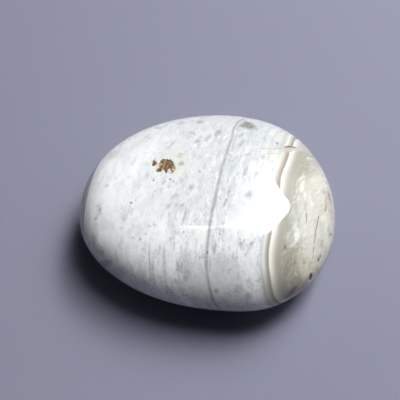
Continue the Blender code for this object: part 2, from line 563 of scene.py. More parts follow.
FRONT_STREAKS_AND_SHADE = (
    Mark(-18.8, -17.7, 0.3, 3.0, 15, 0.4),
    Mark(-11.5, -18.0, 0.2, 3.8, 5, 0.5),
    Mark(-10.6, -19.9, 0.3, 2.9, 5, 0.4),
    Mark(-8.2, -18.6, 0.4, 3.8, 5, 0.5),
    Mark(-5.2, -19.6, 0.5, 1.1, 5, 0.65),
    Mark(-4.4, -19.6, 0.2, 1.4, 5, 0.8),
    Mark(-3.2, -20.9, 0.7, 1.3, 0, 0.5),
    Mark(2.3, -16.0, 0.4, 0.9, 5, 0.6),
    Mark(2.6, -15.0, 0.3, 0.4, 5, 0.4),
    Mark(1.6, -18.8, 0.2, 1.9, 5, 0.4),
    Mark(-1.6, -14.8, 0.3, 1.3, 5, 0.3),
    Mark(7.7, -14.3, 0.3, 1.7, 15, 0.4),
    Mark(10.1, -14.3, 0.4, 0.2, 5, 0.5),
    Mark(9.0, -16.4, 0.4, 0.3, 5, 0.4),
    Mark(7.8, -20.5, 0.2, 0.7, 5, 0.5),
    Mark(3.3, -23.3, 0.5, 0.7, 5, 0.7),
    Mark(10.1, -23.6, 0.7, 1.0, 0, 0.6),
    Mark(12.6, -17.6, 0.2, 4.3, 5, 0.5),
    # The last four are painted shade: broad soft grey patches on the lower front towards the narrow end.
    Mark(-22.1, -16.9, 2.9, 0.9, 47, 0.65),
    Mark(-24.3, -13.5, 2.4, 1.0, -55, 0.5),
    Mark(-23.0, -14.9, 1.4, 1.0, -50, 0.6),
    Mark(-17.6, -19.2, 3.4, 1.3, 50, 0.25),
)
END_STREAKS = (
    Mark(17.3, -9.5, 0.2, 2.2, -5, 0.4),
    Mark(18.1, -14.9, 0.2, 3.0, 0, 0.4),
    Mark(19.7, -4.4, 0.3, 2.0, 0, 0.35),
)
MARKS: dict[Tint, tuple[Mark, ...]] = {
    Tint.GREY_AND_SHADE: (
        *BACK_SMUDGES, *MIDDLE_SMUDGES, *NEAR_VEIN_SMUDGES, *FRONT_STREAKS_AND_SHADE, *END_STREAKS,
        *FaintSmudges().scatter(),
    ),
    Tint.ROSE: (
        Mark(28.0, 1.6, 0.9, 1.5, 25, 0.7),
        Mark(25.6, -8.6, 1.4, 3.2, 12, 0.3),
        Mark(1.4, 13.9, 0.6, 1.4, -30, 0.8),
        Mark(2.2, 10.8, 0.7, 0.7, 0, 0.4),
        Mark(27.9, -1.0, 1.5, 4.2, 25, 0.65),
        Mark(27.0, 1.2, 0.8, 1.4, 30, 0.4),
        Mark(25.3, -6.6, 0.5, 2.2, 10, 0.35),
    ),
    Tint.DARK: (
        Mark(26.9, -2.1, 0.25, 1.1, -8, 0.45),
        Mark(-16.7, -5.6, 0.3, 0.2, -20, 1.0),
        Mark(-12.7, 4.0, 0.2, 0.2, 0, 0.9),
        Mark(-12.2, -0.2, 0.3, 0.2, 0, 0.75),
        Mark(-8.4, -0.1, 0.3, 0.2, -35, 0.8),
        Mark(-7.7, -0.6, 0.2, 0.2, 0, 0.6),
        Mark(-2.0, 2.0, 0.3, 0.3, 0, 0.45),
        Mark(15.3, 12.3, 0.3, 0.4, 20, 0.65),
        Mark(0.9, -16.6, 0.15, 0.4, 5, 0.6),
        Mark(17.5, -14.0, 0.3, 0.5, 5, 0.6),
        Mark(20.2, -12.8, 0.2, 0.3, 5, 0.5),
        Mark(21.3, -13.5, 0.2, 0.4, 5, 0.5),
        Mark(25.3, -14.2, 0.4, 0.5, -20, 0.8),
        Mark(25.7, -13.4, 0.4, 0.4, -5, 0.6),
        Mark(19.7, -21.2, 1.1, 1.9, -35, 0.4),
    ),
    Tint.LENS: (
        Mark(8.6, 17.7, 1.3, 1.9, 15, 1.0),
        Mark(7.3, 17.2, 0.8, 0.8, 10, 0.9),
        Mark(9.9, 17.7, 0.4, 1.7, 20, 0.7),
    ),
    Tint.BROWN: (
        Mark(28.0, 1.5, 0.7, 1.5, 25, 0.75),
        Mark(1.4, 13.9, 0.4, 1.1, -30, 0.55),
        Mark(-24.2, -6.7, 0.7, 1.2, -15, 0.55),
        Mark(-24.7, -8.1, 0.5, 0.4, -5, 0.65),
        Mark(-24.6, -5.2, 0.6, 0.7, -25, 0.4),
        Mark(12.8, 9.9, 1.6, 0.15, 12, 0.45),
        Mark(14.3, 8.6, 1.7, 0.15, 13, 0.35),
        Mark(21.9, -16.2, 0.4, 1.0, 0, 0.5),
        Mark(19.2, -16.7, 1.2, 1.1, 0, 0.35),
        Mark(17.9, -20.6, 0.4, 1.7, -5, 0.35),
    ),
    Tint.OLIVE: (
        Mark(-9.7, -0.8, 0.3, 0.7, -35, 0.6),
        Mark(-10.2, -2.8, 0.2, 0.6, -10, 0.4),
        Mark(-23.0, 9.2, 1.6, 1.4, -35, 0.4),
        Mark(-12.4, 5.7, 0.2, 0.5, -5, 0.5),
        Mark(8.0, -22.7, 1.0, 1.2, 0, 0.5),
        Mark(-6.7, 6.5, 0.7, 0.7, 0, 0.9),
        Mark(-6.3, 4.1, 0.6, 0.7, 0, 0.9),
        Mark(19.4, 1.0, 0.3, 2.4, -10, 0.5),
        Mark(20.4, 3.5, 0.2, 1.5, -10, 0.45),
        Mark(17.9, -13.7, 0.9, 0.7, 5, 0.4),
        Mark(20.0, -14.1, 0.7, 0.5, 5, 0.4),
        Mark(18.7, -16.7, 1.2, 1.0, 0, 0.35),
        Mark(21.1, -15.0, 0.6, 1.3, -5, 0.3),
        Mark(27.8, -7.3, 0.8, 1.7, 5, 0.5),
        Mark(25.9, -10.7, 0.6, 1.4, 0, 0.35),
        Mark(22.0, -5.3, 0.3, 1.5, 10, 0.35),
        Mark(20.4, -8.4, 0.4, 1.4, 0, 0.35),
        Mark(12.4, 12.8, 0.5, 1.2, 15, 0.35),
        Mark(14.3, 4.9, 0.25, 2.2, 5, 0.4),
    ),
    Tint.HALO: (
        Mark(-7.0, 3.0, 1.4, 2.5, -15, 0.9),
        Mark(-8.6, 6.4, 1.4, 0.9, 0, 0.7),
        Mark(-6.6, 5.7, 0.8, 2.1, 0, 0.6),
        Mark(-11.3, 1.9, 1.9, 0.9, 0, 0.5),
        Mark(13.2, 9.8, 1.8, 3.2, 15, 0.4),
        Mark(15.4, 8.0, 0.8, 2.6, 15, 0.7),
        Mark(15.6, 15.2, 2.0, 3.0, 30, 0.4),
    ),
    Tint.WHITE: (
        Mark(21.1, 1.0, 0.5, 1.8, -15, 0.85),
        Mark(20.0, -10.8, 0.6, 1.4, -5, 0.95),
        Mark(21.8, -1.3, 0.5, 1.1, -5, 0.5),
        Mark(21.5, 3.4, 0.4, 1.3, 0, 0.4),
        Mark(23.1, -1.9, 0.4, 1.3, 15, 0.4),
        Mark(10.8, -17.8, 0.3, 3.4, 5, 0.5),
        Mark(-0.5, 6.5, 0.4, 0.5, 0, 0.6),
        Mark(-1.6, 10.0, 0.5, 0.7, 0, 0.6),
        Mark(8.4, -1.0, 0.4, 1.8, -12, 0.4),
        Mark(9.6, 4.6, 0.4, 1.8, -12, 0.45),
        Mark(9.0, 9.6, 0.5, 1.6, -15, 0.45),
        Mark(18.9, -21.2, 0.5, 1.3, -35, 0.35),
    ),
    Tint.PLUM: (
        Mark(-12.7, 5.0, 0.4, 0.5, -5, 0.8),
        Mark(-12.6, 4.2, 0.4, 0.4, -5, 1.0),
        Mark(-9.6, 1.9, 0.3, 0.4, 0, 0.7),
        Mark(-8.3, 1.7, 0.5, 0.3, 30, 0.5),
        Mark(-11.3, 2.5, 0.7, 0.5, -25, 0.6),
        Mark(-9.4, 4.0, 0.3, 1.1, -10, 0.4),
    ),
    Tint.PEACH: (
        Mark(-11.6, 3.9, 0.5, 0.7, -5, 1.0),
        Mark(-10.5, 2.2, 0.3, 0.4, 0, 0.5),
        Mark(-9.0, 2.1, 0.5, 0.3, 0, 0.4),
        Mark(-8.0, 2.8, 0.5, 0.7, 0, 0.75),
    ),
}


@dataclass(frozen=True)
class Ball:
    """A ball round part of the skin whose cells are halved, and how many times."""

    centre: np.ndarray
    radius: float
    halvings: int

    def holds(self, points: np.ndarray, margin: float) -> np.ndarray:
        """Tell which points lie in the ball, widened by a margin in millimetres."""
        return ((points - self.centre) ** 2).sum(axis=1) < (self.radius + margin) ** 2


@dataclass(frozen=True)
class Relief:
    """Everything that is worked into the skin, with what it leaves for the finish to read."""

    pocket: DruzyPocket = DruzyPocket()
    chips: tuple[Chip, ...] = (
        Chip("low_chip", (23.8, -17.3, 14.6), (0.5, 0.8, 1.7), 0.32, 0.9),
        Chip("rim_chip", (28.4, -7.6, 16.6), (0.5, 0.4, 0.8), 0.2, 0.6),
        Chip("crack_chip", (24.0, -14.4, 18.4), (0.5, 0.8, 0.8), 0.1, 0.35),
    )
    cracks: tuple[Crack, ...] = (
        Crack(
            "end_crack",
            ((25.19, -4.59, 20.65), (24.89, -5.68, 20.6), (24.64, -7.63, 20.6), (24.37, -9.01, 20.5),
             (24.06, -11.22, 20.0), (23.89, -13.19, 19.3), (23.96, -14.12, 18.75)),
            0.17, 0.07, 0.68,
        ),
        Crack(
            "end_crack_mouth",
            ((25.1, -5.0, 20.6), (24.8, -6.4, 20.6), (24.55, -8.3, 20.5)),
            0.21, 0.15, 0.75, 0.03,
        ),
        Crack("rim_crack", ((26.98, -0.04, 19.2), (26.64, -3.49, 19.5)), 0.17, 0.10, 0.7),
        Crack("short_crack", ((22.15, -5.22, 22.3), (22.11, -8.03, 22.0)), 0.19, 0.05, 0.65),
        Crack("link_crack", ((25.19, -4.59, 20.65), (27.12, -3.57, 19.0)), 0.12, 0.05, 0.2),
        Crack(
            "shoulder_groove",
            ((20.9, 17.9, 18.0), (20.17, 16.79, 18.9), (19.5, 15.0, 20.3), (18.94, 13.3, 21.5)),
            0.22, 0.16, 0.35, 0.02,
        ),
        Crack(
            "vein_cap",
            ((16.95, 11.32, 22.8), (17.6, 12.0, 22.4), (18.51, 12.35, 22.0), (19.3, 12.45, 21.7),
             (19.95, 12.25, 21.4)),
            0.20, 0.18, 0.8, 0.02,
        ),
    )
    crystal_share: float = 0.92
    least_sinking: float = 0.03
    pocket_reach: float = 2.4
    pit_reach: float = 0.95
    chip_reach: float = 1.15
    crack_reach: float = 2.6
    crack_margin: float = 0.12
    mark_reach: float = 1.25
    fine_mark: float = 0.35
    pocket_halvings: int = 3
    crack_halvings: int = 2
    mark_halvings: int = 1

    def regions(self, points: np.ndarray) -> list[Ball]:
        """List where the skin's cells are halved.

        Args:
            points: Points on the skin, in millimetres.

        Returns:
            Balls round the pocket, the pits, the chips, the cracks and the marks.
        """
        balls = [Ball(np.array(self.pocket.centre), self.pocket_reach, self.pocket_halvings)]
        for pit in self.pocket.pits:
            balls.append(Ball(np.array(pit.centre), self.pit_reach, self.pocket_halvings))
        for chip in self.chips:
            radius = self.chip_reach * max(chip.half_sizes)
            balls.append(Ball(np.array(chip.centre), radius, self.crack_halvings))
        for crack in self.cracks:
            radius = self.crack_reach * crack.half_width + self.crack_margin
            balls += [Ball(point, radius, self.crack_halvings) for point in crack.path()]
        for mark in (mark for group in MARKS.values() for mark in group):
            short = min(mark.across, mark.along)
            halvings = self.crack_halvings if short < self.fine_mark else self.mark_halvings
            balls += [Ball(spot, self.mark_reach * short, halvings) for spot in mark.spine(points)]
        return balls

    def work(self, points: np.ndarray) -> tuple[np.ndarray, dict[str, np.ndarray]]:
        """Measure the relief at the skin's points.

        Args:
            points: Points on the smooth skin, in millimetres.

        Returns:
            The depth to press each point in by, in millimetres, and the named readings for the finish.
        """
        openness, tips = self.pocket.openness(points), self.pocket.points_up(points)
        depth = openness * np.maximum(self.pocket.depth * (1 - self.crystal_share * tips), self.least_sinking)
        readings = {"druse": openness, "tips": tips}
        for name, parts in (("crack", self.cracks), ("chip", self.chips)):
            stain = np.zeros(len(points))
            for part in parts:
                closeness = part.closeness(points)
                depth = np.maximum(depth, part.depth * closeness)
                stain = np.maximum(stain, part.stain * closeness)
            readings[name] = stain
        return depth, readings


@dataclass(frozen=True)
class JasperStone:
    """The stone itself: one closed skin with its relief and its readings."""

    form: PebbleForm = PebbleForm()
    bedding: Bedding = Bedding()
    relief: Relief = Relief()
    cells: int = 88
    finer_margins: tuple[float, ...] = (0.45, 0.2, 0.08)

    def directions(self, body: bmesh.types.BMesh) -> np.ndarray:
        """Spread the points of the gridded cube evenly over a ball of unit radius.

        Args:
            body: The gridded cube.

        Returns:
            Unit vectors, one a point.
        """
        corners = np.array([vert.co for vert in body.verts])
        even = np.tan(corners * math.pi / 4)
        return even / np.linalg.norm(even, axis=1)[:, None]

    def placed(self, body: bmesh.types.BMesh) -> np.ndarray:
        """Place the cube's points on the standing stone, in millimetres."""
        return self.form.stand(self.form.skin(self.directions(body))) / MM

    def refine(self, body: bmesh.types.BMesh) -> None:
        """Halve the cells near the relief, several times over.

        Args:
            body: The gridded cube.
        """
        balls = self.relief.regions(self.placed(body))
        for step, margin in enumerate(self.finer_margins):
            points = self.placed(body)
            near = np.zeros(len(points), bool)
            for ball in balls:
                if ball.halvings > step:
                    near |= ball.holds(points, margin)
            body.verts.ensure_lookup_table()
            edges = [edge for edge in body.edges if all(near[vert.index] for vert in edge.verts)]
            bmesh.ops.subdivide_edges(body, edges=edges, cuts=1, use_grid_fill=True)
            body.verts.index_update()

    def move(self, body: bmesh.types.BMesh, points: np.ndarray) -> None:
        """Set each of the body's points to its new place."""
        for vert, point in zip(body.verts, points):
            vert.co = point

    def rough_out(self) -> tuple[bmesh.types.BMesh, np.ndarray]:
        """Grid a cube, refine it and round it into the smooth stone.

        Returns:
            The body, sized in millimetres, and its points.
        """
        body = bmesh.new()
        bmesh.ops.create_cube(body, size=2.0)
        bmesh.ops.subdivide_edges(body, edges=body.edges[:], cuts=self.cells - 1, use_grid_fill=True)
        body.verts.index_update()
        self.refine(body)
        points = self.placed(body)
        self.move(body, points)
        bmesh.ops.recalc_face_normals(body, faces=body.faces[:])
        body.normal_update()
        return body, points

    def build(self) -> bpy.types.Object:
        """Build the stone's mesh, with its relief worked in and its readings written on it.

        Returns:
            The stone, standing on the table.
        """
        body, points = self.rough_out()
        normals = np.array([vert.normal for vert in body.verts])
        depth, readings = self.relief.work(points)
        readings["bed"] = self.bedding.depth(points)
        for tint, group in MARKS.items():
            readings[tint.value] = np.max([mark.closeness(points, normals) for mark in group], axis=0)
        self.move(body, self.within_box(points * MM) - normals * depth[:, None] * MM)
        mesh = bpy.data.meshes.new("jasper_stone")
        body.to_mesh(mesh)
        body.free()
        mesh.shade_smooth()
        for name, values in readings.items():
            layer = mesh.attributes.new(name, "FLOAT", "POINT")
            layer.data.foreach_set("value", values.astype(np.float32))
        stone = bpy.data.objects.new("jasper_stone", mesh)
        bpy.context.scene.collection.objects.link(stone)
        worked_in = ", ".join(part.name for part in (*self.relief.cracks, *self.relief.chips))
        LOG.info("worked into the skin: the druzy pocket, %s", worked_in)
        return stone

    def within_box(self, points: np.ndarray) -> np.ndarray:
        """Trim the skin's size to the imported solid's box, which its coarser cells leave a hair smaller.

        Args:
            points: The skin's points in metres.

        Returns:
            The same points, drawn in so that no side stands past the solid's.
        """
        low, high = (np.array(corner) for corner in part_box(STONE_NODE))
        own_low, own_high = points.min(axis=0), points.max(axis=0)
        share = np.minimum((high - low) / (own_high - own_low), 1.0)
        return (points - own_low) * share + low


# --- materials --------------------------------------------------------------------------------------


class Field:
    """A value that varies over the stone: one socket, on which arithmetic adds Math nodes."""

    def __init__(self, bench: "Bench", socket: bpy.types.NodeSocket) -> None:
        """Wrap a socket.

        Args:
            bench: The bench whose node tree holds the socket.
            socket: An output that carries one value.
        """
        self.bench = bench
        self.socket = socket

    def _math(self, operation: str, *terms: "Field | float") -> "Field":
        """Add one Math node on these terms."""
        node = self.bench.node("ShaderNodeMath", {"operation": operation}, dict(enumerate(terms)))
        return Field(self.bench, node.outputs[0])

    def __add__(self, other: "Field | float") -> "Field":
        """Add."""
        return self._math("ADD", self, other)

    def __sub__(self, other: "Field | float") -> "Field":
        """Subtract."""
        return self._math("SUBTRACT", self, other)

    def __rsub__(self, other: float) -> "Field":
        """Subtract from a number."""
        return self._math("SUBTRACT", other, self)

    def __mul__(self, other: "Field | float") -> "Field":
        """Multiply."""
        return self._math("MULTIPLY", self, other)

    def __truediv__(self, other: "Field | float") -> "Field":
        """Divide."""
        return self._math("DIVIDE", self, other)

    def __rtruediv__(self, other: float) -> "Field":
        """Divide a number."""
        return self._math("DIVIDE", other, self)

    def __abs__(self) -> "Field":
        """Drop the sign."""
        return self._math("ABSOLUTE", self)

    __radd__ = __add__
    __rmul__ = __mul__

    def most(self, other: "Field | float") -> "Field":
        """Keep the larger of two values."""
        return self._math("MAXIMUM", self, other)

    def rise(self, start: float, end: float, low: float = 0.0, high: float = 1.0) -> "Field":
        """Ease from one value to another as this one goes from start to end.

        Args:
            start: Where the rise starts.
            end: Where it ends, which may be under start.
            low: The value at and before start.
            high: The value at and after end.

        Returns:
            The eased value.
        """
        settings = {"interpolation_type": "SMOOTHSTEP"}
        levels = {"From Min": start, "From Max": end, "To Min": low, "To Max": high}
        node = self.bench.node("ShaderNodeMapRange", settings, {"Value": self, **levels})
        return Field(self.bench, node.outputs["Result"])


class Bench:
    """Lays out the nodes of one material or world."""

    # A Mix node's colour sockets, by number, as its value and vector sockets have the same names.
    mix_share: int = 0
    mix_under: int = 6
    mix_over: int = 7
    mix_result: int = 2

    def __init__(self, owner: "bpy.types.Material | bpy.types.World") -> None:
        """Start with no nodes.

        Args:
            owner: The material or world whose nodes they are.
        """
        self.owner = owner
        owner.use_nodes = True
        self.tree = owner.node_tree
        self.tree.nodes.clear()

    def node(self, kind: str, settings: Values | None = None, inputs: Values | None = None) -> bpy.types.Node:
        """Add any node.

        Args:
            kind: The node's type.
            settings: Its own settings, or "stops" for a ramp, which are set first.
            inputs: Values, fields or sockets for its inputs, by name or number.

        Returns:
            The new node.
        """
        node = self.tree.nodes.new(kind)
        for key, value in (settings or {}).items():
            if key == "stops":
                self._set_stops(node.color_ramp, value)
            else:
                setattr(node, key, value)
        for key, value in (inputs or {}).items():
            source = value.socket if isinstance(value, Field) else value
            if isinstance(source, bpy.types.NodeSocket):
                self.tree.links.new(source, node.inputs[key])
            else:
                node.inputs[key].default_value = source
        return node

    def _set_stops(self, ramp: bpy.types.ColorRamp, stops: list[tuple[float, Colour]]) -> None:
        """Give a ramp its stops.

        Args:
            ramp: The ramp.
            stops: Where each stop lies, 0 to 1, and its colour.
        """
        while len(ramp.elements) < len(stops):
            ramp.elements.new(1.0)
        for element, (place, colour) in zip(ramp.elements, stops):
            element.position = place
            element.color = colour

    def vector(self, operation: str, *terms: "bpy.types.NodeSocket | Point") -> bpy.types.NodeSocket:
        """Add a Vector Math node and give its vector."""
        node = self.node("ShaderNodeVectorMath", {"operation": operation}, dict(enumerate(terms)))
        return node.outputs["Vector"]

    def alignment(self, first: bpy.types.NodeSocket, second: Point) -> Field:
        """Measure how far two unit vectors point the same way, 1 when they do."""
        node = self.node("ShaderNodeVectorMath", {"operation": "DOT_PRODUCT"}, {0: first, 1: second})
        return Field(self, node.outputs["Value"])

    def mix(
        self,
        share: Field | float,
        first: "bpy.types.NodeSocket | Colour",
        second: "bpy.types.NodeSocket | Colour",
    ) -> bpy.types.NodeSocket:
        """Lay one colour over another.

        Args:
            share: How much of the second colour shows, 0 to 1.
            first: The colour underneath.
            second: The colour laid on.

        Returns:
            The blended colour's socket.
        """
        colours = {self.mix_share: share, self.mix_under: first, self.mix_over: second}
        return self.node("ShaderNodeMix", {"data_type": "RGBA"}, colours).outputs[self.mix_result]

    def reading(self, name: str) -> Field:
        """Read a value that the mesh carries at its points."""
        node = self.node("ShaderNodeAttribute", {"attribute_name": name})
        return Field(self, node.outputs["Fac"])

    def surface(self, look: Values) -> None:
        """Lay a shader of this look on the owner's surface."""
        shader = self.node("ShaderNodeBsdfPrincipled", None, look)
        self.node("ShaderNodeOutputMaterial", None, {"Surface": shader.outputs[0]})


class Lie(Enum):
    """How the spots of a grain lie in the rock."""

    EVEN = "the same size every way"
    BEDDED = "stretched along the beds"
    LEANING = "stretched along streaks that lean across the beds"


class Axis(Enum):
    """The two ways across the rock that a zone is measured."""

    BED = "through the beds"
    ALONG = "along the beds, from the near side to the far side"


class Site:
    """The rock being shaded: its bed, how far along the bed it lies, and its place for each lie of grain."""

    wander: float = 1.1
    wander_size: Sizes = (4.5, 4.5, 4.5)
    slant: float = -0.3
    shift_way: Point = (1.0, 1.7, -0.6)

    def __init__(self, bench: Bench) -> None:
        """Read where the rock lies.

        Args:
            bench: The bench of the stone's material.
        """
        self.bench = bench
        self.bed = bench.reading("bed")
        centre = bench.node("ShaderNodeTexCoord").outputs["Object"]
        place = bench.vector("MULTIPLY", centre, (1 / MM, 1 / MM, 1 / MM))
        parts = bench.node("ShaderNodeSeparateXYZ", None, {0: place}).outputs
        self.along = Field(bench, parts["Y"])
        self.places = {Lie.EVEN: place}
        wander = (self.grain(self.wander_size, 8.3, 2.0, 0.5, Lie.EVEN) - 0.5) * self.wander
        bedded = {"X": self.bed + wander, "Y": parts["Y"], "Z": parts["Z"]}
        self.places[Lie.BEDDED] = bench.node("ShaderNodeCombineXYZ", None, bedded).outputs[0]
        slant = bench.node("ShaderNodeCombineXYZ", None, {"X": self.along * self.slant}).outputs[0]
        self.places[Lie.LEANING] = bench.vector("ADD", self.places[Lie.BEDDED], slant)

    def grain(
        self,
        size: Sizes,
        shift: float,
        detail: float = 3.0,
        roughness: float = 0.6,
        lie: Lie = Lie.BEDDED,
    ) -> Field:
        """Lay natural variation whose spots are of a given size.

        Args:
            size: The spots' size along each axis, in millimetres.
            shift: Moves it to another part of the pattern.
            detail: How many finer octaves it holds.
            roughness: How strong the finer ones are.
            lie: How its spots lie.

        Returns:
            A value round 0.5.
        """
        scaled = self.bench.vector("MULTIPLY", self.places[lie], tuple(1 / part for part in size))
        moved = self.bench.vector("ADD", scaled, tuple(shift * part for part in self.shift_way))
        levels = {"Vector": moved, "Scale": 1.0, "Detail": detail, "Roughness": roughness}
        return Field(self.bench, self.bench.node("ShaderNodeTexNoise", None, levels).outputs[0])

    def measure(self, axis: Axis) -> Field:
        """Give how far the rock lies one way."""
        return self.bed if axis is Axis.BED else self.along


@dataclass(frozen=True)
class Band:
    """One stop across a banded vein: how far through the beds it lies, its colour and how solid it is."""

    bed: float
    colour: Colour
    cover: float = 1.0


@dataclass(frozen=True)
class BandedVein:
    """A vein of several bands side by side, laid over the rock between two beds."""

    start: float
    end: float
    bands: tuple[Band, ...]

    def lay(self, site: Site, colour: bpy.types.NodeSocket, bed: Field, share: Field) -> bpy.types.NodeSocket:
        """Lay the vein on a colour.

        Args:
            site: Where the rock lies.
            colour: The rock's colour so far.
            bed: How far through the beds each point counts as lying.
            share: How much of the vein shows, 0 to 1.

        Returns:
            The colour with the vein on it.
        """
        span = self.end - self.start
        stops = [((band.bed - self.start) / span, (*band.colour[:3], band.cover)) for band in self.bands]
        ramp = site.bench.node("ShaderNodeValToRGB", {"stops": stops}, {0: (bed - self.start) / span})
        cover = Field(site.bench, ramp.outputs["Alpha"]) * share
        return site.bench.mix(cover, colour, ramp.outputs["Color"])


@dataclass(frozen=True)
class MarkShade:
    """How one kind of mark colours the rock."""

    tint: Tint
    colour: Colour
    strength: float
    raggedness: float


@dataclass(frozen=True)
class Speck:
    """A thin colour that shows where its grain runs high."""

    colour: Colour
    cover: float
    size: Sizes
    rise: Span
    shift: float
    detail: float = 3.0
    roughness: float = 0.6
    lie: Lie = Lie.BEDDED

    def lay(
        self, site: Site, colour: "bpy.types.NodeSocket | Colour", where: Field | float = 1.0
    ) -> bpy.types.NodeSocket:
        """Lay the specks on a colour.

        Args:
            site: Where the rock lies.
            colour: The rock's colour so far.
            where: How strongly they show in each part of the rock, 0 to 1.

        Returns:
            The colour with the specks on it.
        """
        grain = site.grain(self.size, self.shift, self.detail, self.roughness, self.lie)
        return site.bench.mix(grain.rise(*self.rise) * (where * self.cover), colour, self.colour)


@dataclass(frozen=True)
class Edge:
    """A soft edge in the rock: nothing at its start and all at its end, unless low and high say otherwise."""

    axis: Axis
    start: float
    end: float
    raggedness: float = 0.0
    low: float = 0.0
    high: float = 1.0

    def share(self, site: Site, ragged: Field | None = None) -> Field:
        """Measure how far past the edge the rock lies.

        Args:
            site: Where the rock lies.
            ragged: How far a fully ragged edge strays, in millimetres.

        Returns:
            The eased value, from low to high.
        """
        place = site.measure(self.axis)
        if ragged is not None and self.raggedness:
            place = place + ragged * self.raggedness
        return place.rise(self.start, self.end, self.low, self.high)


def inside(edges: tuple[Edge, ...], site: Site, ragged: Field | None = None) -> Field:
    """Measure how far inside all of some edges the rock lies.

    Args:
        edges: The edges.
        site: Where the rock lies.
        ragged: How far a fully ragged edge strays, in millimetres.

    Returns:
        The product of their shares.
    """
    share = edges[0].share(site, ragged)
    for edge in edges[1:]:
        share = share * edge.share(site, ragged)
    return share


@dataclass(frozen=True)
class Zone:
    """A part of the rock, inside soft edges, that is washed with one colour."""

    colour: Colour
    cover: float
    edges: tuple[Edge, ...]

    def lay(
        self, site: Site, colour: "bpy.types.NodeSocket | Colour", ragged: Field | None = None
    ) -> bpy.types.NodeSocket:
        """Wash the zone over a colour."""
        return site.bench.mix(inside(self.edges, site, ragged) * self.cover, colour, self.colour)


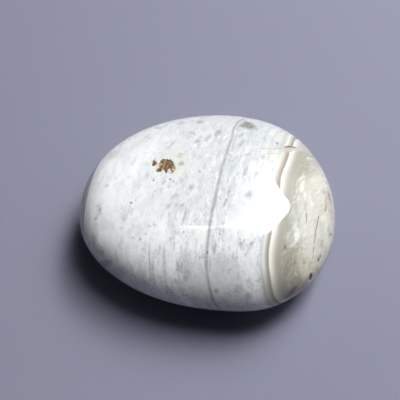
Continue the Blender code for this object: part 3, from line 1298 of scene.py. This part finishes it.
@dataclass(frozen=True)
class JasperFinish:
    """The polished rock: milky beds with fine streaks, a green vein, a banded one and two unlike ends."""

    clear_milk: Colour = shade(247, 248, 249)
    painted_front_light: Colour = shade(255, 255, 255)
    grey_milk: Colour = shade(208, 210, 211)
    white_fleck: Colour = shade(240, 242, 243)
    narrow_and_shade_grey: Colour = shade(182, 186, 187)
    rim_shade_grey: Colour = shade(154, 156, 162)
    cool_cloud: Colour = shade(206, 211, 217)
    warm_cloud: Colour = shade(222, 222, 214)
    streak_and_shade_grey: Colour = shade(188, 192, 194)
    streak_dark: Colour = shade(162, 166, 167)
    vein_green: Colour = shade(172, 175, 171)
    end_base: Colour = shade(215, 214, 207)
    end_cool: Colour = shade(209, 209, 205)
    end_grey: Colour = shade(194, 194, 186)
    end_green: Colour = shade(175, 174, 163)
    end_white: Colour = shade(228, 228, 220)
    end_warm: Colour = shade(218, 214, 203)
    end_tan: Colour = shade(172, 165, 152)
    end_yellow: Colour = shade(226, 222, 200)
    end_dark_and_shade: Colour = shade(158, 154, 142)
    vein_mauve: Colour = shade(200, 190, 187)
    cap_brown: Colour = shade(140, 134, 128)
    hair_grey: Colour = shade(168, 165, 156)
    crack_brown: Colour = shade(108, 106, 95)
    chip_grey: Colour = shade(112, 112, 96)
    ochre_dark: Colour = shade(116, 94, 64)
    ochre: Colour = shade(158, 136, 104)
    ochre_pale: Colour = shade(196, 178, 148)
    gloss_roughness: float = 0.055
    dull_roughness: float = 0.6
    refraction: float = 1.54
    druse_bed: float = -7.6

    pale_and_painted_light_zones: tuple[Zone, ...] = (
        # The first zone is painted light: the lower front whitened as if more strongly lit. The second pales
        # the rock just past the green vein.
        Zone(painted_front_light, 0.6, (Edge(Axis.ALONG, -7.0, -13.0, 0.2), Edge(Axis.BED, -20.0, -15.0))),
        Zone(white_fleck, 0.6, (Edge(Axis.BED, 5.6, 9.0), Edge(Axis.ALONG, 15.0, 3.0, 0.3))),
    )
    clouds: tuple[Speck, ...] = (
        Speck(cool_cloud, 0.32, (3.0, 6.0, 5.0), (0.50, 0.68), 3.1, 2.0, 0.5),
        Speck(warm_cloud, 0.3, (2.6, 6.0, 5.0), (0.56, 0.70), 9.4, 2.0, 0.5),
    )
    calm_edges: tuple[Edge, ...] = (Edge(Axis.BED, 5.4, 8.0), Edge(Axis.ALONG, -7.0, 0.0))
    busy_beds: Edge = Edge(Axis.BED, -18.0, 1.0, 0.0, 0.42, 1.0)
    dapples: tuple[Speck, ...] = (
        Speck(streak_and_shade_grey, 0.35, (2.0, 4.6, 4.2), (0.47, 0.60), 40.0),
        Speck(white_fleck, 0.6, (1.1, 2.6, 2.4), (0.50, 0.62), 17.0),
        Speck(streak_and_shade_grey, 0.6, (1.0, 1.8, 1.7), (0.55, 0.66), 7.9, 3.0, 0.62),
    )
    ribbon: Speck = Speck(streak_and_shade_grey, 0.5, (1.0, 7.0, 6.0), (0.49, 0.58), 51.0, 3.0, 0.55)
    streak: Speck = Speck(streak_and_shade_grey, 0.45, (0.5, 2.2, 2.0), (0.53, 0.70), 1.3)
    thread: Speck = Speck(streak_and_shade_grey, 0.22, (0.34, 5.0, 4.5), (0.56, 0.72), 21.0, 2.0, 0.5)
    threaded_front: Edge = Edge(Axis.ALONG, -3.0, -14.0, 0.0, 0.25, 1.0)
    narrow_end: Zone = Zone(
        narrow_and_shade_grey, 0.75, (Edge(Axis.BED, -21.0, -28.5, 0.2), Edge(Axis.ALONG, 10.0, -10.0, 0.0, 0.2, 1.0))
    )
    # Painted shade: the lower front of the milky rock darkened, most of all along its front edge.
    painted_front_shade_zones: tuple[Zone, ...] = (
        Zone(narrow_and_shade_grey, 0.4, (Edge(Axis.ALONG, -11.0, -17.0, 0.2), Edge(Axis.BED, -11.0, -21.0, 0.2))),
        Zone(
            streak_and_shade_grey,
            0.4,
            (Edge(Axis.ALONG, -15.5, -19.0), Edge(Axis.BED, -2.0, 2.0), Edge(Axis.BED, 15.0, 11.0)),
        ),
    )
    flecks: tuple[Speck, ...] = (
        Speck(streak_dark, 0.5, (0.7, 0.7, 0.7), (0.58, 0.70), 2.2, 3.0, 0.6, Lie.EVEN),
        Speck(white_fleck, 0.35, (0.45, 0.7, 0.7), (0.50, 0.68), 27.0, 3.0, 0.65),
        Speck(streak_and_shade_grey, 0.35, (0.45, 0.8, 0.8), (0.50, 0.68), 33.0, 3.0, 0.65),
    )
    end_patches: Speck = Speck(end_warm, 1.0, (2.2, 5.0, 4.5), (0.46, 0.62), 4.4, 3.0, 0.65, Lie.LEANING)
    end_zones: tuple[Zone, ...] = (
        Zone(end_green, 0.75, (Edge(Axis.ALONG, 0.0, 6.0, 1.0), Edge(Axis.BED, 26.0, 22.5, 0.2))),
        Zone(end_cool, 0.8, (Edge(Axis.ALONG, 3.0, -3.0, 1.0), Edge(Axis.BED, 25.5, 23.5, 0.2))),
        Zone(end_green, 0.95, (Edge(Axis.BED, 24.2, 21.6, 0.12),)),
        Zone(end_tan, 0.9, (Edge(Axis.ALONG, -11.5, -14.5, 1.0), Edge(Axis.BED, 26.0, 23.5, 0.3))),
        Zone(end_yellow, 0.8, (Edge(Axis.ALONG, -12.5, -16.0, 1.0), Edge(Axis.BED, 23.5, 25.5))),
    )
    end_specks: tuple[Speck, ...] = (
        Speck(end_grey, 0.6, (1.1, 4.2, 3.8), (0.50, 0.62), 8.8, 4.0, 0.65, Lie.LEANING),
        Speck(end_white, 0.55, (1.0, 3.4, 3.0), (0.51, 0.66), 13.1, 3.0, 0.65, Lie.LEANING),
        Speck(end_grey, 0.5, (0.42, 2.6, 2.4), (0.50, 0.66), 6.1, 4.0, 0.65, Lie.LEANING),
        Speck(end_dark_and_shade, 0.45, (0.4, 1.3, 1.3), (0.56, 0.72), 23.0, 3.0, 0.65, Lie.LEANING),
        Speck(end_white, 0.3, (0.45, 1.4, 1.3), (0.53, 0.68), 29.0, 3.0, 0.65, Lie.LEANING),
    )
    end_border: Edge = Edge(Axis.BED, 20.0, 20.6, 0.04)
    green_left: Span = (4.85, 5.42)
    green_right: Span = (6.0, 5.52)
    faint_bed: float = 6.3
    faint_edge: Span = (0.3, 0.05)
    faint_run: Edge = Edge(Axis.ALONG, 7.0, 10.0)
    low_run: Edge = Edge(Axis.ALONG, -3.0, -8.0)
    shifted_from: float = 13.5
    fault_line: Edge = Edge(Axis.BED, 16.7, 18.8, 0.0, 11.05, 12.35)
    fault_softness: Edge = Edge(Axis.BED, 19.2, 20.4, 0.0, 0.12, 1.4)
    fill_floor: Edge = Edge(Axis.BED, 18.4, 19.7, 0.0, 9.9, 11.7)
    fill_beds: tuple[Edge, ...] = (Edge(Axis.BED, 16.95, 17.35), Edge(Axis.BED, 20.1, 19.4))
    cap_beds: tuple[Edge, ...] = (Edge(Axis.BED, 16.9, 18.5, 0.0, 0.0, 0.34), Edge(Axis.BED, 19.5, 19.0))
    hair_line: Edge = Edge(Axis.BED, 15.2, 17.2, 0.0, 10.3, 10.85)
    hair_beds: tuple[Edge, ...] = (Edge(Axis.BED, 15.1, 15.6), Edge(Axis.BED, 17.2, 16.8))
    # Painted shade: the foot of the banded vein darkened where the stone turns under at the lower front.
    painted_vein_foot_shade: Zone = Zone(end_dark_and_shade, 0.5, (Edge(Axis.ALONG, -18.0, -22.5), Edge(Axis.BED, 15.5, 17.5)))
    early_marks: tuple[MarkShade, ...] = (
        MarkShade(Tint.HALO, shade(220, 222, 210), 0.85, 0.4),
        # Grey marks: most are natural smudges, and the broad ones on the lower front are painted shade.
        MarkShade(Tint.GREY_AND_SHADE, shade(158, 164, 166), 1.0, 0.6),
        MarkShade(Tint.ROSE, shade(186, 179, 177), 0.9, 0.5),
        MarkShade(Tint.OLIVE, shade(160, 161, 145), 0.85, 0.8),
        MarkShade(Tint.BROWN, shade(150, 138, 128), 0.9, 0.8),
        MarkShade(Tint.WHITE, shade(240, 240, 236), 0.9, 0.5),
        MarkShade(Tint.LENS, shade(142, 144, 139), 1.0, 0.35),
    )
    late_marks: tuple[MarkShade, ...] = (
        MarkShade(Tint.DARK, shade(92, 84, 78), 0.9, 0.2),
        MarkShade(Tint.PLUM, shade(112, 98, 90), 0.9, 0.4),
        MarkShade(Tint.PEACH, shade(212, 190, 166), 0.9, 0.3),
    )
    high_vein: BandedVein = BandedVein(16.6, 22.2, (
        Band(17.0, shade(209, 208, 202), 0.0),
        Band(17.4, shade(214, 211, 205)),
        Band(17.62, shade(205, 201, 195)),
        Band(17.85, shade(191, 185, 178)),
        Band(18.12, shade(178, 170, 163)),
        Band(18.40, shade(166, 159, 151)),
        Band(18.52, shade(172, 165, 157)),
        Band(18.60, shade(225, 221, 214)),
        Band(18.90, shade(229, 226, 220)),
        Band(19.22, shade(219, 217, 210)),
        Band(19.65, shade(199, 197, 189)),
        Band(20.10, shade(183, 181, 173)),
        Band(20.60, shade(177, 175, 165), 0.9),
        Band(21.90, shade(175, 173, 163), 0.0),
    ))
    low_vein: BandedVein = BandedVein(16.6, 22.2, (
        Band(16.75, shade(214, 216, 214), 0.0),
        Band(17.08, shade(208, 211, 208)),
        Band(17.45, shade(228, 230, 226)),
        Band(17.72, shade(224, 222, 219)),
        Band(17.95, shade(205, 201, 197)),
        Band(18.18, shade(187, 181, 176)),
        Band(18.50, shade(170, 162, 156)),
        Band(18.58, shade(180, 174, 167)),
        Band(18.68, shade(236, 234, 228)),
        Band(18.95, shade(243, 240, 233)),
        Band(19.30, shade(230, 228, 220)),
        Band(19.75, shade(202, 199, 191)),
        Band(20.25, shade(182, 178, 169)),
        Band(20.90, shade(176, 172, 162), 0.85),
        Band(21.28, shade(174, 170, 160), 0.5),
        Band(21.38, shade(160, 156, 145), 0.7),
        Band(21.50, shade(173, 169, 159), 0.35),
        Band(22.00, shade(176, 172, 162), 0.0),
    ))
    shifted_vein: BandedVein = BandedVein(15.8, 22.6, (
        Band(15.90, shade(208, 209, 205), 0.0),
        Band(16.60, shade(197, 198, 192)),
        Band(17.05, shade(203, 203, 198)),
        Band(17.35, shade(222, 222, 216)),
        Band(17.55, shade(218, 218, 212)),
        Band(17.75, shade(196, 196, 189)),
        Band(18.05, shade(188, 188, 180)),
        Band(18.25, shade(170, 167, 159)),
        Band(18.42, shade(160, 156, 147)),
        Band(18.52, shade(216, 214, 208)),
        Band(18.80, shade(225, 224, 218)),
        Band(19.10, shade(214, 212, 207)),
        Band(19.60, shade(193, 191, 186)),
        Band(20.60, shade(190, 188, 181), 0.9),
        Band(22.30, shade(196, 194, 186), 0.0),
    ))

    def dress(self, stone: bpy.types.Object) -> None:
        """Make the finish and lay it on the stone.

        Args:
            stone: The stone's object, with its readings.
        """
        bench = Bench(bpy.data.materials.new(STONE_SLOT))
        site = Site(bench)
        colour = self.milky_beds(site)
        colour = self.broad_end(site, colour)
        colour = self.lay_marks(site, colour, self.early_marks)
        colour = self.green_vein(site, colour)
        colour = self.banded_veins(site, colour)
        # Painted shade at the foot of the banded vein.
        colour = self.painted_vein_foot_shade.lay(site, colour)
        crack, chip, druse = (bench.reading(name) for name in ("crack", "chip", "druse"))
        colour = bench.mix(crack.rise(0.15, 0.8) * 0.85, colour, self.crack_brown)
        colour = bench.mix(chip.rise(0.1, 0.8) * 0.7, colour, self.chip_grey)
        colour = bench.mix(druse.rise(0.25, 0.6), colour, self.druse_lining(site))
        colour = self.lay_marks(site, colour, self.late_marks)

        dull = druse.most(chip).most(crack).rise(0.05, 0.4, self.gloss_roughness, self.dull_roughness)
        scuff = site.grain((0.9, 2.5, 2.5), 12.0).rise(0.45, 0.8) * 0.05
        bench.surface({"Base Color": colour, "Roughness": dull + scuff, "IOR": self.refraction})
        stone.data.materials.append(bench.owner)

    def lay_specks(
        self,
        site: Site,
        colour: "bpy.types.NodeSocket | Colour",
        specks: tuple[Speck, ...],
        where: Field | float = 1.0,
    ) -> bpy.types.NodeSocket:
        """Lay several kinds of speck, one over another.

        Args:
            site: Where the rock lies.
            colour: The rock's colour so far.
            specks: The specks, from the lowest up.
            where: How strongly they show in each part of the rock, 0 to 1.

        Returns:
            The colour with the specks on it.
        """
        for speck in specks:
            colour = speck.lay(site, colour, where)
        return colour

    def lay_zones(
        self, site: Site, colour: bpy.types.NodeSocket, zones: tuple[Zone, ...], ragged: Field
    ) -> bpy.types.NodeSocket:
        """Wash several zones, one over another.

        Args:
            site: Where the rock lies.
            colour: The rock's colour so far.
            zones: The zones, from the lowest up.
            ragged: How far a fully ragged edge strays, in millimetres.

        Returns:
            The colour with the zones on it.
        """
        for zone in zones:
            colour = zone.lay(site, colour, ragged)
        return colour

    def lay_marks(
        self, site: Site, colour: bpy.types.NodeSocket, kinds: tuple[MarkShade, ...]
    ) -> bpy.types.NodeSocket:
        """Lay the small marks, each with a ragged edge.

        Args:
            site: Where the rock lies.
            colour: The rock's colour so far.
            kinds: The kinds of mark, from the lowest up.

        Returns:
            The colour with the marks on it.
        """
        ragged = site.grain((0.7, 0.7, 0.7), 4.9, 3.0, 0.65, Lie.EVEN).rise(0.34, 0.62)
        for kind in kinds:
            cover = site.bench.reading(kind.tint.value) * kind.strength
            cover = cover * (1 - kind.raggedness + ragged * kind.raggedness)
            colour = site.bench.mix(cover, colour, kind.colour)
        return colour

    def milky_beds(self, site: Site) -> bpy.types.NodeSocket:
        """Colour the milky rock between the veins, with painted shade on its lower front and on the narrow
        end's rim, and its front painted lighter.

        Args:
            site: Where the rock lies.

        Returns:
            The milky rock's colour, with its painted shade and light.
        """
        cloudy = (site.grain((4.5, 9.0, 8.0), 15.2, 2.0, 0.5) - 0.5) * 18
        # Greyer through the beds towards the broad end; the share that grows greyer towards the far side is
        # painted shade, leaving the front lighter.
        greyer = (site.bed + site.along * 0.6 + cloudy).rise(-25.0, 17.0)
        colour = site.bench.mix(greyer, self.clear_milk, self.grey_milk)
        # Painted light on the lower front, and paler rock past the green vein.
        colour = self.lay_zones(site, colour, self.pale_and_painted_light_zones, cloudy)
        colour = self.lay_specks(site, colour, self.clouds)

        patchy = site.grain((3.2, 6.0, 5.0), 5.7, 2.0, 0.5).rise(0.36, 0.60, 0.35, 1.0)
        calm = inside(self.calm_edges, site)
        busy = patchy * self.busy_beds.share(site) * (1 - calm * 0.45)
        colour = self.lay_specks(site, colour, self.dapples, busy)
        colour = self.ribbon.lay(site, colour, calm)
        colour = self.streak.lay(site, colour, busy)
        colour = self.thread.lay(site, colour, self.threaded_front.share(site) * patchy)

        colour = self.narrow_end.lay(site, colour, cloudy)
        # Painted shade on the narrow end's rim.
        colour = self.painted_rim_shade(site, colour, cloudy)
        # Painted shade on the lower front.
        colour = self.lay_zones(site, colour, self.painted_front_shade_zones, cloudy)
        return self.lay_specks(site, colour, self.flecks, busy)

    def painted_rim_shade(self, site: Site, colour: bpy.types.NodeSocket, cloudy: Field) -> bpy.types.NodeSocket:
        """Paint shade on the narrow end's rim: a grey band across the narrow end, and a thinner one past it.

        Args:
            site: Where the rock lies.
            colour: The rock's colour so far.
            cloudy: A slow variation of the rock, in millimetres.

        Returns:
            The colour with both bands of painted shade on it.
        """
        leaning = site.bed + site.along * 0.07
        swaying = leaning + cloudy * 0.12
        thick = leaning.rise(-28.1, -28.7) * swaying.rise(-31.8, -30.0)
        thin = swaying.rise(-32.4, -32.9) * swaying.rise(-34.2, -33.2) * 0.5
        mottled = site.grain((0.8, 3.0, 2.6), 37.0).rise(0.35, 0.6, 0.65, 1.0)
        reach = site.along.rise(-11.5, -9.0) * site.along.rise(13.0, 5.0, 0.35, 1.0)
        return site.bench.mix((thick + thin) * mottled * reach, colour, self.rim_shade_grey)

    def broad_end(self, site: Site, colour: bpy.types.NodeSocket) -> bpy.types.NodeSocket:
        """Lay the mottled cream and grey rock of the broad end, whose streaks lean across the beds.

        Args:
            site: Where the rock lies.
            colour: The rock's colour so far.

        Returns:
            The colour with the broad end on it.
        """
        ragged = (site.grain((1.5, 3.5, 3.0), 19.0, 3.0, 0.65, Lie.LEANING) - 0.5) * 9
        end = self.end_patches.lay(site, self.end_base)
        end = self.lay_zones(site, end, self.end_zones, ragged)
        end = self.lay_specks(site, end, self.end_specks)
        return site.bench.mix(self.end_border.share(site, ragged), colour, end)

    def green_vein(self, site: Site, colour: bpy.types.NodeSocket) -> bpy.types.NodeSocket:
        """Lay the thin green vein, softer on its left, and the faint line that runs beside it.

        Args:
            site: Where the rock lies.
            colour: The rock's colour so far.

        Returns:
            The colour with the vein and the line on it.
        """
        centre = site.bed + (site.grain((6.0, 1.4, 1.4), 2.9) - 0.5) * 0.35
        line = centre.rise(*self.green_left) * centre.rise(*self.green_right)
        uneven = site.grain((6.0, 1.8, 1.8), 31.0).rise(0.32, 0.62, 0.62, 1.0)
        colour = site.bench.mix(line * uneven * 0.88, colour, self.vein_green)
        faint = abs(centre - self.faint_bed).rise(*self.faint_edge) * self.faint_run.share(site)
        return site.bench.mix(faint * uneven * 0.5, colour, self.vein_green)

    def banded_veins(self, site: Site, colour: bpy.types.NodeSocket) -> bpy.types.NodeSocket:
        """Lay the banded vein, its shifted run past the small fault, and what fills the fault.

        Args:
            site: Where the rock lies.
            colour: The rock's colour so far.

        Returns:
            The colour with the vein and the fault on it.
        """
        wander = site.grain((6.0, 2.0, 2.0), 6.6, 3.0, 0.55) - 0.5
        waved = site.bed + wander * 0.12
        over = site.along - self.fault_line.share(site) + wander * 0.25
        past_fault = (over / self.fault_softness.share(site)).rise(-1.0, 1.0)
        low = self.low_run.share(site)
        colour = self.high_vein.lay(site, colour, waved, (1 - past_fault) * (1 - low))
        colour = self.low_vein.lay(site, colour, waved, low)
        bent = waved + (site.along - self.shifted_from).most(0.0) * 0.11
        colour = self.shifted_vein.lay(site, colour, bent, past_fault)
        return self.fill_fault(site, colour, wander, over)

    def fill_fault(
        self, site: Site, colour: bpy.types.NodeSocket, wander: Field, over: Field
    ) -> bpy.types.NodeSocket:
        """Fill the small fault with mauve, under a brown cap and a fine hair of grey.

        Args:
            site: Where the rock lies.
            colour: The rock's colour so far.
            wander: A slow variation of the rock, round 0.
            over: How far past the fault the rock lies, in millimetres.

        Returns:
            The colour with the fault on it.
        """
        bench = site.bench
        above_floor = site.along - self.fill_floor.share(site) + wander * 0.6
        fill = above_floor.rise(-0.25, 0.35) * over.rise(0.12, -0.12) * inside(self.fill_beds, site)
        colour = bench.mix(fill * 0.9, colour, self.vein_mauve)
        thick = inside(self.cap_beds, site)
        cap = (1 - abs(over + 0.1) / (thick + 0.01)).rise(0.0, 0.45) * thick.rise(0.02, 0.08)
        colour = bench.mix(cap * 0.9, colour, self.cap_brown)
        from_hair = abs(site.along - self.hair_line.share(site) + wander * 0.3)
        hair = from_hair.rise(0.17, 0.04) * inside(self.hair_beds, site)
        return bench.mix(hair * 0.8, colour, self.hair_grey)

    def druse_lining(self, site: Site) -> bpy.types.NodeSocket:
        """Colour the crystals that line the pocket: a dark streak down the middle, paler towards the sides.

        Args:
            site: Where the rock lies.

        Returns:
            The lining's colour.
        """
        bench = site.bench
        lining = bench.mix(bench.reading("tips").rise(0.45, 0.95), self.ochre_dark, self.ochre)
        pale = site.grain((0.4, 0.9, 0.8), 9.2, 2.0, 0.5).rise(0.44, 0.62)
        lining = bench.mix(pale * 0.55, lining, self.ochre_pale)
        broken = site.grain((0.4, 1.6, 1.4), 3.7).rise(0.3, 0.5)
        streak = abs(site.bed - self.druse_bed).rise(0.9, 0.2) * broken
        lining = bench.mix(streak * 0.8, lining, self.ochre_dark)
        seams = site.grain((0.26, 1.3, 1.2), 3.7).rise(0.50, 0.62)
        return bench.mix(seams * 0.5, lining, self.ochre_dark)


# --- studio -----------------------------------------------------------------------------------------


def heading(azimuth: float, elevation: float) -> Vector:
    """Give the unit vector towards an azimuth and elevation in degrees."""
    turn, lift = math.radians(azimuth), math.radians(elevation)
    return Vector((math.cos(lift) * math.cos(turn), math.cos(lift) * math.sin(turn), math.sin(lift)))


@dataclass(frozen=True)
class SoftboxCorner:
    """One corner of a softbox: its heading from the stone, and its veil's reach and brightness."""

    azimuth: float
    elevation: float
    fade: float
    veil: float = 0.065


@dataclass(frozen=True)
class Softbox:
    """A bright cloth panel with an uneven outline and a dim veil of light round it."""

    name: str = "softbox"
    seen_from: Point = (10.0, -5.0, 24.0)
    distance: float = 0.6
    radiance: float = 12.9
    middle: Span = (50.0, 68.0)
    edge: float = 0.4
    corners: tuple[SoftboxCorner, ...] = (
        SoftboxCorner(111.0, 87.2, 2.5),
        SoftboxCorner(38.0, 86.0, 4.0),
        SoftboxCorner(12.0, 80.5, 5.0),
        SoftboxCorner(-2.0, 77.8, 5.0),
        SoftboxCorner(-5.5, 73.6, 4.0),
        SoftboxCorner(-0.5, 71.0, 3.0),
        SoftboxCorner(10.5, 66.9, 2.0),
        SoftboxCorner(21.5, 61.7, 2.0),
        SoftboxCorner(29.6, 53.6, 2.0),
        SoftboxCorner(34.4, 50.0, 2.0),
        SoftboxCorner(39.3, 49.9, 2.0),
        SoftboxCorner(50.5, 51.3, 3.0),
        SoftboxCorner(58.5, 50.0, 3.0),
        SoftboxCorner(63.5, 48.0, 2.0),
        SoftboxCorner(66.5, 46.0, 1.0, 0.04),
        SoftboxCorner(69.6, 40.5, 5.0, 0.06),
        SoftboxCorner(70.9, 40.5, 5.0, 0.06),
        SoftboxCorner(70.9, 47.0, 0.6, 0.03),
        SoftboxCorner(70.2, 52.5, 0.6, 0.03),
        SoftboxCorner(69.2, 56.5, 0.8, 0.03),
        SoftboxCorner(67.3, 61.5, 1.0, 0.03),
        SoftboxCorner(65.7, 68.0, 1.0, 0.03),
        SoftboxCorner(65.0, 75.8, 1.0, 0.03),
        SoftboxCorner(69.5, 82.6, 1.0, 0.04),
    )

    def on_panel(self, corner: SoftboxCorner) -> Vector:
        """Find where a corner's heading meets the flat panel.

        Args:
            corner: The corner.

        Returns:
            Its place from the panel's middle, in metres.
        """
        towards = heading(*self.middle)
        ray = heading(corner.azimuth, corner.elevation)
        return (ray / ray.dot(towards) - towards) * self.distance

    def rings(self) -> tuple[list[Vector], list[float]]:
        """Lay out three rings of corners: round the bright middle, past its edge and where its veil ends.

        Returns:
            The corners' places in metres, and how bright the cloth is at each, 0 to 1.
        """
        outline = [self.on_panel(corner) for corner in self.corners]
        heart = sum(outline, Vector()) / len(outline)
        base = Vector(self.seen_from) * MM + heading(*self.middle) * self.distance
        fades = (
            [(0.0, 1.0) for _ in self.corners],
            [(self.edge, corner.veil) for corner in self.corners],
            [(self.edge + corner.fade, 0.0) for corner in self.corners],
        )
        places, levels = [], []
        for fade in fades:
            for spot, (reach, level) in zip(outline, fade):
                outward = (spot - heart).normalized()
                places.append(base + spot + outward * math.tan(math.radians(reach)) * self.distance)
                levels.append(level)
        return places, levels

    def cloth(self) -> bpy.types.Material:
        """Make the glowing cloth, as bright as the panel's own reading says.

        Returns:
            The material.
        """
        bench = Bench(bpy.data.materials.new(f"{self.name}_cloth"))
        bench.surface({
            "Base Color": BLACK,
            "Specular IOR Level": 0.0,
            "Emission Color": bench.reading("glow"),
            "Emission Strength": self.radiance,
        })
        return bench.owner

    def hang(self) -> None:
        """Build the panel, a middle with two rings of faces round it, and hang it over the stone."""
        places, levels = self.rings()
        count = len(self.corners)
        faces = [tuple(range(count))]
        for ring in (0, count):
            for index in range(count):
                after = (index + 1) % count
                faces.append((ring + index, ring + after, ring + count + after, ring + count + index))
        mesh = bpy.data.meshes.new(self.name)
        mesh.from_pydata([tuple(place) for place in places], [], faces)
        mesh.attributes.new("glow", "FLOAT", "POINT").data.foreach_set("value", levels)
        mesh.materials.append(self.cloth())
        panel = bpy.data.objects.new(self.name, mesh)
        bpy.context.scene.collection.objects.link(panel)
        panel.visible_camera = False


SIDE_STRIP = Softbox(
    name="side_strip",
    distance=0.62,
    radiance=3.4,
    edge=1.0,
    corners=(
        SoftboxCorner(123.7, 86.9, 1.0, 0.4),
        SoftboxCorner(166.2, 82.3, 1.0, 0.4),
        SoftboxCorner(172.7, 76.3, 2.5, 0.4),
        SoftboxCorner(177.1, 76.4, 2.5, 0.4),
        SoftboxCorner(175.6, 82.5, 0.6, 0.4),
        SoftboxCorner(158.2, 88.2, 0.6, 0.4),
    ),
)


@dataclass(frozen=True)
class Glow:
    """One soft patch of light in the dim room."""

    azimuth: float
    elevation: float
    radiance: float


@dataclass(frozen=True)
class Studio:
    """The pale floor, the softbox, the side strip, the dim room and the camera."""

    softbox: Softbox = Softbox()
    side_strip: Softbox = SIDE_STRIP
    floor_side: float = 6.0
    floor_colour: Colour = (0.284, 0.287, 0.358, 1.0)
    floor_roughness: float = 0.9
    room_colour: Colour = (0.96, 0.98, 1.0, 1.0)
    glows: tuple[Glow, ...] = (
        Glow(45.0, 50.0, 1.3),
        Glow(0.0, 50.0, 0.5),
        Glow(146.0, 7.0, 0.6),
        Glow(141.0, 26.0, 0.3),
    )
    glow_core: float = 4.0
    glow_edge: float = 26.0
    wall_radiance: float = 0.09
    wall_top: float = 40.0
    wall_full_height: float = 0.1
    lens: float = 64.98
    sensor: float = 36.0
    nearest_seen: float = 5 * MM
    view_elevation: float = 60.0
    view_turn: float = 3.816
    view_distance: float = 169.9
    view_aim: Point = (-1.84, 0.93, 14.23)

    def build(self) -> None:
        """Set up the whole studio."""
        self.lay_floor()
        self.softbox.hang()
        self.side_strip.hang()
        self.dim_room()
        self.place_camera()
        bpy.context.scene.view_settings.view_transform = "Standard"
        bpy.context.scene.view_settings.look = "High Contrast"
        LOG.info("studio: floor, softbox, side strip, dim room and camera")

    def lay_floor(self) -> None:
        """Lay a plain pale floor at z = 0."""
        half = self.floor_side / 2
        mesh = bpy.data.meshes.new("floor")
        corners = [(-half, -half, 0), (half, -half, 0), (half, half, 0), (-half, half, 0)]
        mesh.from_pydata(corners, [], [(0, 1, 2, 3)])
        bench = Bench(bpy.data.materials.new("pale_floor"))
        bench.surface({"Base Color": self.floor_colour, "Roughness": self.floor_roughness})
        mesh.materials.append(bench.owner)
        floor = bpy.data.objects.new("floor", mesh)
        bpy.context.scene.collection.objects.link(floor)

    def dim_room(self) -> None:
        """Light the room dimly, with walls a little brighter than the ceiling and a few soft glows."""
        world = bpy.data.worlds.new("dim_room")
        bpy.context.scene.world = world
        bench = Bench(world)
        towards = bench.node("ShaderNodeTexCoord").outputs["Generated"]
        edge, core = (math.cos(math.radians(angle)) for angle in (self.glow_edge, self.glow_core))
        height = bench.alignment(towards, (0.0, 0.0, 1.0))
        wall_top = math.sin(math.radians(self.wall_top))
        strength = height.rise(wall_top, self.wall_full_height) * self.wall_radiance
        for glow in self.glows:
            facing = bench.alignment(towards, tuple(heading(glow.azimuth, glow.elevation)))
            strength = facing.rise(edge, core) * glow.radiance + strength
        sky = bench.node("ShaderNodeBackground", None, {"Color": self.room_colour, "Strength": strength})
        bench.node("ShaderNodeOutputWorld", None, {"Surface": sky.outputs[0]})

    def place_camera(self) -> None:
        """Stand the camera above the front edge, looking down on the stone."""
        camera = bpy.data.objects.new("camera", bpy.data.cameras.new("camera"))
        bpy.context.scene.collection.objects.link(camera)
        camera.data.lens = self.lens
        camera.data.sensor_width = self.sensor
        camera.data.clip_start = self.nearest_seen
        back = heading(self.view_turn - 90, self.view_elevation)
        right = heading(self.view_turn, 0.0)
        axes = Matrix((right, back.cross(right), back)).transposed().to_4x4()
        spot = (Vector(self.view_aim) + self.view_distance * back) * MM
        camera.matrix_world = Matrix.Translation(spot) @ axes
        bpy.context.scene.camera = camera


def main() -> None:
    """Build the stone and its studio, and report each piece."""
    logging.basicConfig(level=logging.INFO, format="%(name)s: %(message)s")
    stone = JasperStone().build()
    JasperFinish().dress(stone)
    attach(stone, "root")
    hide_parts(STONE_NODE)
    triangles = sum(len(face.vertices) - 2 for face in stone.data.polygons)
    LOG.info("%s: %d triangles, in place of %s", stone.name, triangles, STONE_NODE)
    Studio().build()


if __name__ == "__main__":
    main()
